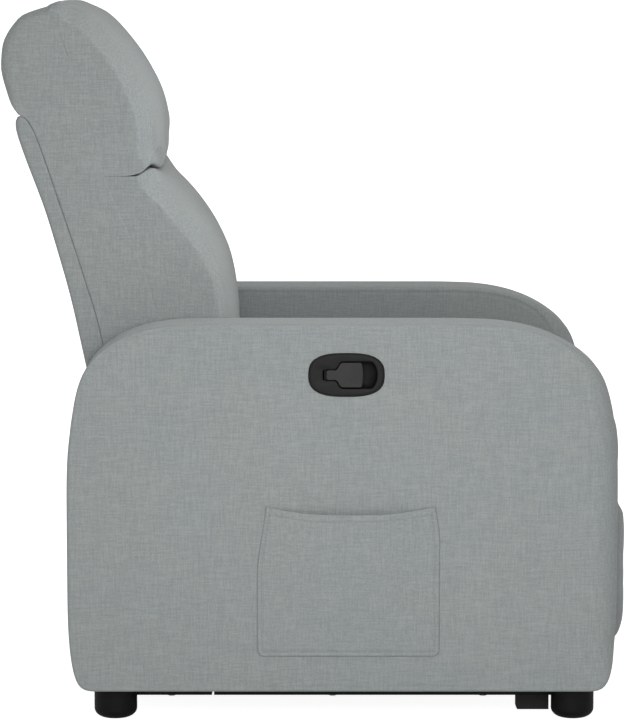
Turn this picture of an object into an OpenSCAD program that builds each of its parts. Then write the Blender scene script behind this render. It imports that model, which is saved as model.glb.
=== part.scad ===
// Recliner armchair with a pull-tab release, a sliding seat and a folding footrest.
// Millimetres. +X is the front, +Z is up, and the floor is at Z = 0. The sitter's right is at -Y.

/* [Arms] */
// Front-to-back length of an arm
arm_length = 788; // [740:4:840]
// Height of an arm's top above the floor
arm_top = 577; // [560:1:600]
// Height of an arm's underside above the floor
arm_bottom = 46; // [46:1:56]
// Side-to-side thickness of an arm
arm_thickness = 102; // [94:1:120]
// Horizontal reach of the round front top corner
arm_nose_reach = 230; // [180:5:250]
// Foam and fabric thickness on an arm
arm_padding = 12; // [10:1:14]
// Plywood thickness of an arm box
arm_board = 9; // [6:1:12]

/* [Seat] */
// Clear width between the arms
seat_width = 496; // [470:2:560]
// Height of the seat's top
seat_top = 465; // [462:1:466]
// Distance that the seat cushion's front stands past the front of the arms
seat_overhang = 13; // [4:1:18]
// Underside of the seat cushion
seat_underside = 348; // [348:1:356]
// Distance that the seat glides forward in a full recline
seat_travel = 60; // [40:5:65]

/* [Backrest] */
// Distance from the rear of the arms to the backrest's hinge axis
hinge_inset = 146; // [143:1:150]
// Depth of the backrest's hinge axis under the seat's top
hinge_drop = 120; // [119:1:122]
// Height from the hinge axis to the top of the head pillow
back_rise = 687; // [660:1:720]
// Gap between the backrest's side and an arm
back_side_gap = 5; // [4:1:9]

/* [Footrest] */
// Length of the drive and control links between pivots
drive_length = 215; // [205:1:220]
// Length of the carrier link between its end pivots
carrier_length = 220; // [215:1:224]
// Distance between the paired pivots on the seat plate
pivot_spacing = 50; // [48:1:52]
// Distance between the paired pivots on the footrest bracket
bracket_spacing = 50; // [48:1:54]
// Thickness of the footrest cushion
footrest_padding = 54; // [44:1:56]

/* [Steelwork] */
// Thickness of plates and links
plate_t = 3; // [2.5:0.1:3.2]
// Rivet shaft radius
rivet_r = 4; // [3:0.5:4.5]
// Side of the square base tubes
tube_side = 20; // [18:1:24]
// Wall of the square base tubes
tube_wall = 2; // [1.5:0.5:3]

/* [Feet and handle] */
// Foot radius
foot_r = 31; // [26:1:34]
// Width of the oval handle bezel
bezel_w = 109; // [106:1:120]
// Height of the oval handle bezel
bezel_h = 63; // [60:1:72]
// Height of the release paddle's pad
paddle_h = 38; // [32:1:40]

/* [Hidden] */
$fn = 48;

RIGHT = -1;
LEFT = 1;

// Clearances
fit_gap = 0.3;       // face to face between neighbours that don't move
slip = 0.08;         // round a turning rivet
snug = 0.04;         // round a fixed rivet or bolt
layer_gap = 0.6;     // between two sliding link faces
play = 0.6;          // round the release paddle in its bezel

// Arm places
arm_inner = seat_width / 2;
arm_outer = arm_inner + arm_thickness;
arm_front = 427;
arm_rear = arm_front - arm_length;
arm_middle = arm_inner + arm_thickness / 2;
corner_power = 2.65;

// Seat places
seat_front = arm_front + seat_overhang;
hinge_x = arm_rear + hinge_inset;
hinge_z = seat_top - hinge_drop;
seat_rear = hinge_x + 25;

// Seat mechanism layers, counted outwards from the mid-plane
plate_outer = arm_inner - 21;
plate_inner = plate_outer - plate_t;
layer_pitch = plate_t + layer_gap;
drive_layer = plate_inner - layer_pitch;        // inner face of the drive links
carrier_layer = drive_layer - layer_pitch;      // inner face of the carrier and steady links
control_layer = carrier_layer - layer_pitch;    // inner face of the control links and brackets
head_t = 1.5;
head_r = rivet_r + 3;

// Footrest linkage: two exact parallelograms, so every turning angle is the same
closed_angle = -110;
carrier_angle = 45;
drive_w = 20;
control_w = 18;
carrier_w = 17;
drive_pivot = [seat_front - 140, seat_underside - 48];
control_pivot = drive_pivot + pivot_spacing * direction(carrier_angle);
elbow = drive_pivot + drive_length * direction(closed_angle);
cross_pivot = elbow + pivot_spacing * direction(carrier_angle);
control_end = cross_pivot + bracket_spacing * direction(closed_angle);
bracket_top = elbow + carrier_length * direction(carrier_angle);
bracket_low = bracket_top + bracket_spacing * direction(closed_angle);
torque_arm = 60;
torque_centre = drive_pivot + torque_arm * direction(closed_angle);
torque_r = 8;

// Footrest panel
board_t = 18;
board_back = bracket_top[0] + 12;
board_front = board_back + board_t;
pad_low = arm_bottom + 46;
pad_high = seat_underside - 42;
board_low = pad_low + 13;
board_high = pad_high - 11;
pad_half_w = arm_inner - 4;
nose_low = pad_high + 10;

// Base
rail_top = arm_bottom - fit_gap;
rail_low = rail_top - tube_side;
rail_bolt_y = arm_inner + arm_padding + 5;
rail_inner = rail_bolt_y - tube_side / 2;
rail_rear = arm_rear + 95;
rail_split = rail_rear + 111.5;
rail_gap = 3;
rail_front = arm_front - 86;
rail_bolt_x = [rail_rear + 51, rail_split + 174.5, rail_front - 101];
block_x = rail_front - 52;
block_l = 48;
bolt_r = 3;
bolt_head_r = 5;
track_low = 235;
track_h = 32;
track_wall = 3;
track_depth = 12;
glide_x = [hinge_x + 65, drive_pivot[0] - 150];
glide_l = 50;
track_spare = 10;
track_rear = glide_x[0] - glide_l / 2 - track_spare;
track_front = glide_x[1] + glide_l / 2 + seat_travel + track_spare;

// Seat frame
rail_t = 20;
frame_high = seat_underside - fit_gap - 2;
frame_low = frame_high - 48.7;
frame_half_w = control_layer - 3.2;
frame_front = seat_front - 48;
frame_rear = seat_rear;
wire = 3.5;
plate_top = seat_underside - 13;
packer_rear = hinge_x + 75;
packer_front = drive_pivot[0] - 170;

// Backrest
back_half_w = arm_inner - back_side_gap;
hinge = [hinge_x, hinge_z];
post_foot = -44;
post_lean = 15;
post_w = 30;
post_t = 30;
post_start = 45;
post_end = 590;
back_rail_t = 18;
back_rail_h = 40;
strap_z = [100, 180, 390, 470];
strap_t = 1.7;
strap_w = 50;
post_out = plate_outer + layer_gap - fit_gap;
bracket_reach = 190;
bracket_w = 32;

// Upholstered board that closes the rear, between the arms
skirt_t = 13.7;
skirt_front = arm_rear + 4 + skirt_t;
skirt_low = arm_bottom + 6;
skirt_high = hinge_z + 30;
rear_rail_t = 18;

// Feet
foot_x = [arm_front - 59, arm_rear + 66];
foot_bolt_r = 4;
foot_bolt_top = arm_bottom + 26;
rail_bolt_top = arm_bottom + 30;

// Handle
handle_x = arm_front - 388;
handle_z = arm_top - 72;
bezel_proud = 3.5;
bezel_depth = 28;
bezel_wall = 2.5;
stem_h = 15;
pin_r = 1.5;
barrel_r = 2.6;
pin_x = handle_x - 30.5;
pin_y = -arm_outer - 0.6;
pin_reach = stem_h / 2 + play + 2;
paddle_t = 4;
paddle_lip = 12;
neck_x = handle_x - 14.5;
pad_x = [handle_x - 8, handle_x + 22];
recess_end = handle_x + 43.5;

// Side pocket
pocket_w = 262;
pocket_x = [arm_front - 516, arm_front - 516 + pocket_w];
pocket_z = [arm_bottom + 52, arm_bottom + 270];
pocket_sheet = 2;
pocket_room = 6.5;
pocket_seam = 4;

function direction(angle) = [cos(angle), sin(angle)];

// One quarter of a superellipse round centre c, from its x end (0) to its z end (90)
function corner(c, a, b, sx, sz, steps = 12) =
    [for (i = [0:steps]) let (t = 90 * i / steps)
        [c[0] + sx * a * pow(cos(t), 2 / corner_power), c[1] + sz * b * pow(sin(t), 2 / corner_power)]];
function arc(c, r, from, to, steps = 10) =
    [for (i = [0:steps]) c + r * direction(from + (to - from) * i / steps)];
function reversed(list) = [for (i = [len(list) - 1:-1:0]) list[i]];

// Smooth open curve through points, Catmull-Rom
function spline(p, steps = 4) = concat([for (i = [0:len(p) - 2], s = [0:steps - 1])
    let (a = p[max(i - 1, 0)], b = p[i], c = p[i + 1], d = p[min(i + 2, len(p) - 1)], t = s / steps)
        0.5 * (2 * b + (c - a) * t + (2 * a - 5 * b + 4 * c - d) * t * t
               + (3 * b - 3 * c + d - a) * t * t * t)], [p[len(p) - 1]]);

// A point of the backrest: forwards of the hinge, and up it as a share of its rise
function back_point(x, share) = [hinge_x + x, hinge_z + share * back_rise];
function back_line(list) = spline([for (p = list) back_point(p[0], p[1])]);
// The stretch of a line between two shares of the rise, moved forwards by x
function stretch(line, low, high, x = 0) =
    [for (p = line) if (p[1] > hinge_z + low * back_rise - 0.01 && p[1] < hinge_z + high * back_rise + 0.01)
        p + [x, 0]];

// Side outline of an arm, drawn in by inset
function arm_outline(inset = 0) = concat(
    corner([arm_front - arm_nose_reach, arm_top - 200], arm_nose_reach - inset, 200 - inset, 1, 1),
    reversed(corner([arm_rear + 200, arm_top - 180], 200 - inset, 180 - inset, -1, 1)),
    corner([arm_rear + 28, arm_bottom + 150], 28 - inset, 150 - inset, -1, -1),
    reversed(corner([arm_front - 28, arm_bottom + 160], 28 - inset, 160 - inset, 1, -1)));

// Lines of the backrest, from the bottom up
rear_face = [[-83, -0.045], [-89, 0], [-106, 0.12], [-125, 0.246], [-144, 0.374], [-163, 0.476],
             [-184, 0.577], [-211, 0.678], [-224, 0.735], [-219, 0.751]];
rear_seam = [[-56, -0.045], [-62, 0], [-82, 0.16], [-103, 0.31], [-124, 0.416], [-152, 0.543],
             [-194, 0.722], [-214, 0.766]];
front_seam = [[0, 0.179], [-16, 0.327], [-23, 0.363], [-44, 0.459], [-94, 0.632], [-118, 0.753],
              [-136, 0.847], [-167, 0.972], [-172, 0.995]];
head_rear = [[-214, 0.766], [-227, 0.757], [-241, 0.80], [-251, 0.85], [-251, 0.88], [-243, 0.927],
             [-224, 0.963], [-208, 0.978], [-172, 0.995]];
head_front = [[-172, 0.995], [-155, 1.0], [-129, 0.998], [-104, 0.98], [-73, 0.925], [-44, 0.86],
              [-23, 0.79], [-15, 0.74], [-14, 0.70], [-19, 0.652], [-30, 0.639], [-91, 0.639]];
lumbar_front = [[-90, 0.630], [-22, 0.633], [-9, 0.628], [27, 0.575], [51, 0.521], [69, 0.467], [80, 0.413],
                [87, 0.355], [91, 0.291], [90, 0.235], [82, 0.192], [64, 0.1785], [0, 0.1785]];

// --- shared shapes ---

// Puts a shape drawn for the left side on the side asked for
module on_side(side) {
    if (side == LEFT) children();
    else mirror([0, 1, 0]) children();
}

// Extrudes a side-view drawing from y = from to y = to
module across(from, to) {
    translate([0, to, 0]) rotate([90, 0, 0]) linear_extrude(to - from) children();
}

// A bar with round ends between two side-view points
module bar(p, q, width) {
    turn = atan2(q[1] - p[1], q[0] - p[0]);
    polygon(concat(arc(q, width / 2, turn - 90, turn + 90), arc(p, width / 2, turn + 90, turn + 270)));
}

module rod(p, r, from, to) {
    across(from, to) translate(p) circle(r);
}

// A link bar with rivet holes, its inner face at y = layer
module link(p, q, width, layer, holes) {
    across(layer, layer + plate_t) difference() {
        bar(p, q, width);
        for (h = holes) translate(h) circle(rivet_r + slip);
    }
}

// A rivet whose heads sit just outside y = from and y = to
module rivet(p, from, to) {
    rod(p, rivet_r, from - fit_gap, to + fit_gap);
    rod(p, head_r, from - fit_gap - head_t, from - fit_gap);
    rod(p, head_r, to + fit_gap, to + fit_gap + head_t);
}

// An upright box from its low and high corners
module block(low, high) {
    translate(low) cube(high - low);
}

module square_tube(low, high, bore_axis) {
    wall = [for (i = [0:2]) i == bore_axis ? -1 : tube_wall];
    difference() {
        block(low, high);
        block(low + wall, high - wall);
    }
}

// --- arms and base ---

module arm_solid() {
    hull() {
        across(arm_inner + 12, arm_outer - 12) polygon(arm_outline());
        across(arm_inner + 4, arm_outer - 4) polygon(arm_outline(3.5));
        across(arm_inner, arm_outer) polygon(arm_outline(11));
    }
}

// Side view of the handle's bezel, a superellipse
module handle_oval() {
    power = 2 / 2.5;
    translate([handle_x, handle_z]) polygon([for (t = [0:10:350])
        [bezel_w / 2 * sign(cos(t)) * pow(abs(cos(t)), power),
         bezel_h / 2 * sign(sin(t)) * pow(abs(sin(t)), power)]]);
}

module arm_cover(side) {
    color([0.57, 0.59, 0.58]) difference() {
        on_side(side) difference() {
            arm_solid();
            across(arm_inner + arm_padding, arm_outer - arm_padding) arm_hollow();
            across(arm_inner + arm_padding, arm_outer - arm_padding)
                translate([0, -1]) arm_foot_board(0, arm_padding + 10);
            track_bolt_holes();
        }
        if (side == RIGHT) {
            across(-arm_outer - 5, -arm_outer + arm_padding + 1) recess_outline(play + bezel_wall + fit_gap);
            cable_hole();
        }
    }
}

// Side view of the room inside an arm's padding
module arm_hollow() {
    intersection() {
        polygon(arm_outline(arm_padding));
        translate([arm_rear, arm_bottom + 1]) square([arm_length, arm_top]);
    }
}

// Side view of the board under an arm, which the feet and base rails are bolted to
module arm_foot_board(gap, height) {
    translate([arm_rear + 34 + gap, arm_bottom]) square([arm_length - 68 - 2 * gap, height]);
}

module arm_frame(side) {
    inset = arm_padding + fit_gap;
    from = arm_inner + inset;
    to = arm_outer - inset;
    color([0.80, 0.66, 0.46]) difference() {
        on_side(side) difference() {
            across(from, to) {
                polygon(arm_outline(inset));
                arm_foot_board(fit_gap, arm_padding + 10);
            }
            across(from + arm_board, to - arm_board) polygon(arm_outline(inset + 26));
            for (x = foot_x) translate([x, arm_middle, 0])
                cylinder(r = foot_bolt_r + snug, h = foot_bolt_top + 1);
            for (x = rail_bolt_x) translate([x, rail_bolt_y, 0])
                cylinder(r = bolt_r + snug, h = rail_bolt_top + 1);
            track_bolt_holes();
        }
        if (side == RIGHT) {
            across(-to - 1, -to + arm_board + 1) recess_outline(play + bezel_wall + fit_gap);
            cable_hole();
        }
    }
}

// Hole through the right arm's inner wall for the release cable
module cable_hole() {
    rod([cable_exit[0], cable_exit[2]], cable_r + 1,
        -arm_inner - arm_padding - arm_board - 2, -arm_inner + 1);
}

module side_pocket() {
    near = -arm_outer - pocket_room - pocket_sheet;
    color([0.55, 0.57, 0.57]) difference() {
        across(near, -arm_outer - fit_gap) translate([pocket_x[0], pocket_z[0]])
            square([pocket_x[1] - pocket_x[0], pocket_z[1] - pocket_z[0]]);
        across(near + pocket_sheet, -arm_outer + 1)
            translate([pocket_x[0] + pocket_seam, pocket_z[0] + pocket_seam])
                square([pocket_x[1] - pocket_x[0] - 2 * pocket_seam, pocket_z[1] - pocket_z[0]]);
    }
}

// T-shaped paddle outline in side view, grown by grow
module paddle_outline(grow = 0) {
    stem = stem_h / 2 + grow;
    pad = paddle_h / 2 + grow;
    lean = 0.58 * grow;
    polygon([for (p = [[pin_x - barrel_r - grow, stem], [neck_x - lean, stem], [pad_x[0] - lean, pad],
                       [pad_x[1] + grow, pad], [pad_x[1] + grow, -pad], [pad_x[0] - lean, -pad],
                       [neck_x - lean, -stem], [pin_x - barrel_r - grow, -stem]]) p + [0, handle_z]]);
}

// The paddle's outline with the round-ended finger recess beyond it
module recess_outline(grow = 0) {
    pad = paddle_h / 2 + grow;
    paddle_outline(grow);
    intersection() {
        translate([pad_x[1] - 1, handle_z - pad]) square([recess_end - pad_x[1] + 1 + grow, 2 * pad]);
        translate([recess_end - 30, handle_z]) circle(30 + grow);
    }
}

module handle_bezel() {
    face = -arm_outer - bezel_proud;
    color([0.10, 0.10, 0.10]) difference() {
        union() {
            across(face, -arm_outer - fit_gap) handle_oval();
            across(face, face + bezel_depth) recess_outline(play + bezel_wall);
        }
        across(face - 1, face + bezel_depth - bezel_wall) recess_outline(play);
        translate([pin_x, pin_y, handle_z - pin_reach]) cylinder(r = pin_r + snug, h = 2 * pin_reach);
    }
}

module handle_pin() {
    color([0.6, 0.6, 0.6]) translate([pin_x, pin_y, handle_z - pin_reach + fit_gap])
        cylinder(r = pin_r, h = 2 * (pin_reach - fit_gap));
}

module release_paddle() {
    color([0.13, 0.13, 0.13]) difference() {
        union() {
            across(pin_y - paddle_t / 2, pin_y + paddle_t / 2) intersection() {
                paddle_outline();
                translate([pin_x, 0]) square([bezel_w, arm_top]);
            }
            across(pin_y, pin_y + paddle_lip) translate([pad_x[1] - 3, handle_z - paddle_h / 2 + 3])
                square([3, paddle_h - 6]);
            translate([pin_x, pin_y, handle_z - stem_h / 2]) cylinder(r = barrel_r, h = stem_h);
        }
        translate([pin_x, pin_y, handle_z - pin_reach]) cylinder(r = pin_r + slip, h = 2 * pin_reach);
    }
}

// Route of the release cable: from the back of the bezel, down inside the arm, out to the track
cable_r = 3;
cable_start = [handle_x, -arm_outer - bezel_proud + bezel_depth + fit_gap, handle_z];
cable_exit = [handle_x + 81, -arm_inner, track_low + 65];
cable_route = [cable_start, cable_start + [0, 20, -4], [handle_x + 17, -arm_middle + 8, handle_z - 40],
               [handle_x + 41, -arm_middle + 2, handle_z - 95], cable_exit + [-20, -arm_thickness / 2, 50],
               cable_exit + [-6, 10 - arm_thickness / 2, 12], cable_exit + [-1, 28 - arm_thickness / 2, 1],
               cable_exit, cable_exit + [0, 2.5, 0]];

// A tube swept along a route, as one polyhedron with sides facets round it
module swept_tube(route, r, sides = 8) {
    path = spline(route, 3);
    n = len(path);
    along = [for (i = [0:n - 1]) let (d = path[min(i + 1, n - 1)] - path[max(i - 1, 0)]) d / norm(d)];
    ring = [for (i = [0:n - 1])
        let (u0 = cross(along[i], [1, 0, 0]), u = u0 / norm(u0), v = cross(along[i], u))
        [for (k = [0:sides - 1]) path[i] + r * (cos(360 * k / sides) * u + sin(360 * k / sides) * v)]];
    points = [for (loop = ring, p = loop) p];
    walls = [for (i = [0:n - 2], k = [0:sides - 1]) let (m = (k + 1) % sides)
        [i * sides + k, i * sides + m, (i + 1) * sides + m, (i + 1) * sides + k]];
    ends = [[for (k = [sides - 1:-1:0]) k], [for (k = [0:sides - 1]) (n - 1) * sides + k]];
    polyhedron(points, concat(walls, ends));
}

module release_cable() {
    color([0.08, 0.08, 0.08]) swept_tube(cable_route, cable_r);
}

module foot(end, side) {
    color([0.08, 0.08, 0.08]) translate([foot_x[end], side * arm_middle, 0]) difference() {
        rotate_extrude() polygon(concat([[0, 0]],
            [for (t = [-90:10:0]) [foot_r - 17 + 17 * cos(t), 13 + 13 * sin(t)]],
            [[foot_r, arm_bottom - fit_gap], [0, arm_bottom - fit_gap]]));
        translate([0, 0, foot_stud_low - fit_gap]) cylinder(r = foot_bolt_r + snug, h = arm_bottom);
    }
}

// Studs in the feet, and bolts that hold the base rails up under the arms
module base_bolts() {
    color([0.6, 0.6, 0.6]) for (side = [RIGHT, LEFT]) {
        for (x = foot_x) translate([x, side * arm_middle, foot_stud_low])
            cylinder(r = foot_bolt_r, h = foot_bolt_top - foot_stud_low);
        for (x = rail_bolt_x) translate([x, side * rail_bolt_y, rail_low - fit_gap]) {
            cylinder(r = bolt_r, h = rail_bolt_top - rail_low + fit_gap);
            translate([0, 0, -bolt_head_t]) cylinder(r = bolt_head_r, h = bolt_head_t);
        }
    }
}
foot_stud_low = 12 + fit_gap;
bolt_head_t = 2;

module rear_rail() {
    color([0.80, 0.66, 0.46])
        block([skirt_front + fit_gap, -arm_inner + fit_gap, skirt_low + 18],
              [skirt_front + fit_gap + rear_rail_t, arm_inner - fit_gap, skirt_high - 15]);
}

module rear_skirt() {
    color([0.57, 0.59, 0.58])
        block([skirt_front - skirt_t, -arm_inner + fit_gap, skirt_low],
              [skirt_front, arm_inner - fit_gap, skirt_high]);
}

module base_rail(side) {
    color([0.10, 0.10, 0.11]) on_side(side) difference() {
        for (ends = [[rail_rear, rail_split - rail_gap / 2], [rail_split + rail_gap / 2, rail_front]])
            square_tube([ends[0], rail_inner, rail_low], [ends[1], rail_inner + tube_side, rail_top], 0);
        for (x = rail_bolt_x) translate([x, rail_bolt_y, 0]) cylinder(r = bolt_r + snug, h = arm_bottom);
    }
}

module cross_tube(x) {
    color([0.10, 0.10, 0.11])
        square_tube([x, -rail_inner + fit_gap, rail_low], [x + tube_side, rail_inner - fit_gap, rail_top], 1);
}

module floor_block(side) {
    color([0.14, 0.14, 0.14]) on_side(side) difference() {
        across(rail_inner - tube_side, rail_inner) polygon([[block_x + 2, 0], [block_x + block_l, 0],
            [block_x + block_l, rail_low + 10], [block_x, rail_low + 10], [block_x, 4]]);
        block([cross_front_x - fit_gap, 0, rail_low - fit_gap],
              [cross_front_x + tube_side + fit_gap, rail_inner + 1, rail_low + 20]);
    }
}
cross_front_x = block_x + (block_l - tube_side) / 2;

module glide_track(side) {
    color([0.45, 0.45, 0.47]) on_side(side) difference() {
        block([track_rear, arm_inner - track_depth, track_low],
              [track_front, arm_inner - fit_gap, track_low + track_h]);
        block([track_rear - 1, arm_inner - track_depth - 1, track_low + track_wall],
              [track_front + 1, track_floor, track_low + track_h - track_wall]);
        track_bolt_holes();
        for (x = track_bolt_x)
            rod([x, track_low + track_h / 2], bolt_head_r + snug, track_floor - 1, track_floor + 2);
    }
}
track_floor = arm_inner - fit_gap - track_wall;
track_bolt_x = [track_rear + 12, track_front - 12];

module track_bolt_holes() {
    for (x = track_bolt_x)
        rod([x, track_low + track_h / 2], bolt_r + snug, track_floor - 1, track_bolt_end + 1);
}
track_bolt_end = arm_inner + arm_padding + arm_board + 2;

// Bolts with their heads sunk in the tracks, through the padding into the arm boxes
module track_bolts() {
    color([0.6, 0.6, 0.6]) for (side = [RIGHT, LEFT], x = track_bolt_x) on_side(side) {
        rod([x, track_low + track_h / 2], bolt_r, track_floor, track_bolt_end);
        rod([x, track_low + track_h / 2], bolt_head_r, track_floor + 0.2, track_floor + 2);
    }
}

// --- seat ---

module plate_outline() {
    polygon([[hinge_x - 20, hinge_z - 6], [hinge_x - 14, hinge_z + 14], [hinge_x, hinge_z + 20],
             [hinge_x + 14, hinge_z + 14], [hinge_x + 34, plate_top],
             [control_pivot[0] - 40, plate_top],
             [control_pivot[0] - 12, control_pivot[1] + 9], [control_pivot[0] + 8, control_pivot[1] + 9],
             [control_pivot[0] + 16, control_pivot[1]], [drive_pivot[0] + 18, drive_pivot[1] - 18],
             [drive_pivot[0] - 20, drive_pivot[1] - 18], [drive_pivot[0] - 100, track_low],
             [glide_x[0] - 40, track_low], [hinge_x - 20, hinge_z - 50]]);
}

module mechanism_plate(side) {
    color([0.35, 0.36, 0.38]) on_side(side) across(plate_inner, plate_outer) difference() {
        plate_outline();
        for (p = [hinge, drive_pivot, control_pivot]) translate(p) circle(rivet_r + snug);
    }
}

// Rivets fixed in the seat plates: the drive, control and backrest pivots
module plate_rivets() {
    color([0.7, 0.7, 0.7]) for (side = [RIGHT, LEFT]) on_side(side) {
        rivet(drive_pivot, drive_layer, plate_outer);
        rivet(control_pivot, control_layer, plate_outer);
        rod(control_pivot, rivet_r + 2.5, control_layer + plate_t + fit_gap, plate_inner - fit_gap);
        rivet(hinge, plate_inner, back_bracket_y + plate_t);
    }
}
back_bracket_y = plate_outer + layer_gap;

module track_glides() {
    color([0.85, 0.85, 0.82]) for (side = [RIGHT, LEFT]) on_side(side) for (x = glide_x)
        block([x - glide_l / 2, plate_outer + fit_gap, track_low + track_wall + fit_gap],
              [x + glide_l / 2, track_floor - fit_gap, track_low + track_h - track_wall - fit_gap]);
}

module seat_frame() {
    color([0.80, 0.66, 0.46]) difference() {
        block([frame_rear, -frame_half_w, frame_low], [frame_front, frame_half_w, frame_high]);
        block([frame_rear + rail_t, -frame_half_w + rail_t, frame_low - 1],
              [frame_front - rail_t, frame_half_w - rail_t, frame_high + 1]);
    }
}

// Blocks that pack the seat frame out to the plates, behind the links
module seat_packers() {
    color([0.72, 0.58, 0.40]) for (side = [RIGHT, LEFT]) on_side(side)
        block([packer_rear, frame_half_w + fit_gap, frame_low + 3],
              [packer_front, plate_inner - fit_gap, plate_top - 1]);
}

// One sinuous spring, as a flat wavy wire from the rear rail to the front rail
module wavy_wire() {
    turns = 11;
    wave = 22;
    length = frame_front - frame_rear - 16;
    steps = 16 * turns;
    middle = [for (i = [0:steps]) [frame_rear + 8 + length * i / steps, wave * sin(360 * turns * i / steps)]];
    normal = [for (i = [0:steps]) let (a = middle[max(i - 1, 0)], b = middle[min(i + 1, steps)],
        d = (b - a) / norm(b - a)) [-d[1], d[0]]];
    polygon(concat([for (i = [0:steps]) middle[i] + wire / 2 * normal[i]],
                   [for (i = [steps:-1:0]) middle[i] - wire / 2 * normal[i]]));
}

module seat_springs() {
    count = 5;
    span = 2 * (frame_half_w - rail_t - 36);
    color([0.5, 0.5, 0.52]) for (i = [0:count - 1])
        translate([0, -span / 2 + span * i / (count - 1), frame_high + fit_gap])
            linear_extrude(1.6) wavy_wire();
}

module seat_cushion() {
    nose_back = frame_front + 4;
    color([0.57, 0.59, 0.58]) across(-arm_inner + 3, arm_inner - 3)
        polygon(concat(
            [[seat_rear, seat_underside], [seat_rear, seat_top - 4], [seat_rear + 60, seat_top - 2],
             [seat_rear + 200, seat_top]],
            [for (t = [90:-15:0]) [seat_front - 45 + 45 * cos(t), seat_top - 45 + 45 * sin(t)]],
            [for (t = [0:-30:-90]) [seat_front - 14 + 14 * cos(t), nose_low + 14 + 14 * sin(t)]],
            [[nose_back, nose_low + 12], [nose_back, seat_underside]]));
}

// Tension springs that pull the footrest shut: sleeves here, hooked on the torque tube and the plate
spring_y = control_layer - 8;
spring_back = drive_pivot + [-210, -38];
spring_r = 7;
module closing_springs() {
    d = (torque_centre - spring_back) / norm(torque_centre - spring_back);
    front = torque_centre - (torque_r + fit_gap + spring_r) * d;
    color([0.5, 0.5, 0.52]) for (side = [RIGHT, LEFT]) on_side(side) {
        translate([spring_back[0], spring_y, spring_back[1]])
            rotate([0, 90 - atan2(d[1], d[0]), 0])
                cylinder(r = spring_r, h = norm(front - spring_back));
        rod(spring_back, 3, spring_y, plate_inner - fit_gap);
    }
}

// --- footrest linkage ---

module drive_link(side) {
    color([0.35, 0.36, 0.38]) on_side(side)
        link(drive_pivot, elbow, drive_w, drive_layer, [drive_pivot, elbow]);
}

module torque_tube() {
    color([0.35, 0.36, 0.38]) difference() {
        rod(torque_centre, torque_r, -drive_layer + fit_gap, drive_layer - fit_gap);
        rod(torque_centre, torque_r - tube_wall, -drive_layer, drive_layer);
    }
}

module drive_rivets() {
    color([0.7, 0.7, 0.7]) for (side = [RIGHT, LEFT]) on_side(side)
        rivet(elbow, carrier_layer, drive_layer + plate_t);
}

module carrier_link(side) {
    color([0.35, 0.36, 0.38]) on_side(side)
        link(elbow, bracket_top, carrier_w, carrier_layer, [elbow, cross_pivot, bracket_top]);
}

module carrier_rivets() {
    color([0.7, 0.7, 0.7]) for (side = [RIGHT, LEFT], p = [cross_pivot, bracket_top]) on_side(side)
        rivet(p, control_layer, carrier_layer + plate_t);
}

module control_link(side) {
    color([0.35, 0.36, 0.38]) on_side(side)
        link(control_pivot, control_end, control_w, control_layer, [control_pivot, cross_pivot, control_end]);
}

module control_rivets() {
    color([0.7, 0.7, 0.7]) for (side = [RIGHT, LEFT]) on_side(side)
        rivet(control_end, control_layer, carrier_layer + plate_t);
}

module steady_link(side) {
    color([0.35, 0.36, 0.38]) on_side(side)
        link(control_end, bracket_low, carrier_w, carrier_layer, [control_end, bracket_low]);
}

module steady_rivets() {
    color([0.7, 0.7, 0.7]) for (side = [RIGHT, LEFT]) on_side(side)
        rivet(bracket_low, control_layer, carrier_layer + plate_t);
}

module footrest_bracket(side) {
    back = board_back - fit_gap;
    color([0.35, 0.36, 0.38]) on_side(side) {
        across(control_layer, control_layer + plate_t) difference() {
            union() {
                bar(bracket_top, bracket_low, 20);
                polygon([bracket_top + [0, 10], [back, bracket_top[1] + 24], [back, bracket_low[1] - 40],
                         bracket_low + [-4, -9]]);
            }
            for (p = [bracket_top, bracket_low]) translate(p) circle(rivet_r + slip);
        }
        block([back - plate_t, control_layer - 24, bracket_low[1] - 40],
              [back, control_layer + plate_t, bracket_top[1] + 24]);
    }
}

module footrest_board() {
    color([0.80, 0.66, 0.46])
        block([board_back, -pad_half_w + 10, board_low], [board_front, pad_half_w - 10, board_high]);
}

module footrest_cushion() {
    pad_back = board_front + fit_gap;
    pad_front = pad_back + footrest_padding;
    color([0.57, 0.59, 0.58]) across(-pad_half_w, pad_half_w)
        polygon(concat([[pad_back, pad_low + 4]],
            [for (t = [-90:15:0]) [pad_front - 22 + 22 * cos(t), pad_low + 22 + 22 * sin(t)]],
            [for (t = [0:15:90]) [pad_front - 22 + 22 * cos(t), pad_high - 22 + 22 * sin(t)]],
            [[pad_back, pad_high]]));
}

// --- backrest ---

// Places a shape drawn with z along the posts and x forwards, z = 0 at the hinge's height
module along_posts() {
    translate([hinge_x + post_foot, 0, hinge_z]) rotate([0, -post_lean, 0]) children();
}

module back_posts(grow = 0) {
    along_posts() for (side = [RIGHT, LEFT]) on_side(side)
        block([-grow, post_out - post_w - grow, post_start - grow],
              [post_t + grow, post_out + grow, post_end + grow]);
}

module back_rails(grow = 0) {
    along_posts() for (z = [post_start, 300, post_end - back_rail_h])
        block([-grow, -post_out + post_w, z - grow],
              [back_rail_t + grow, post_out - post_w, z + back_rail_h + grow]);
}

module back_straps(grow = 0) {
    along_posts() for (z = strap_z)
        block([post_t + fit_gap - grow, -post_out - grow, z - grow],
              [post_t + fit_gap + strap_t + grow, post_out + grow, z + strap_w + grow]);
}

module back_frame() {
    color([0.80, 0.66, 0.46]) {
        back_posts();
        back_rails();
    }
}

module back_webbing() {
    color([0.15, 0.15, 0.15]) back_straps();
}

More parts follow.
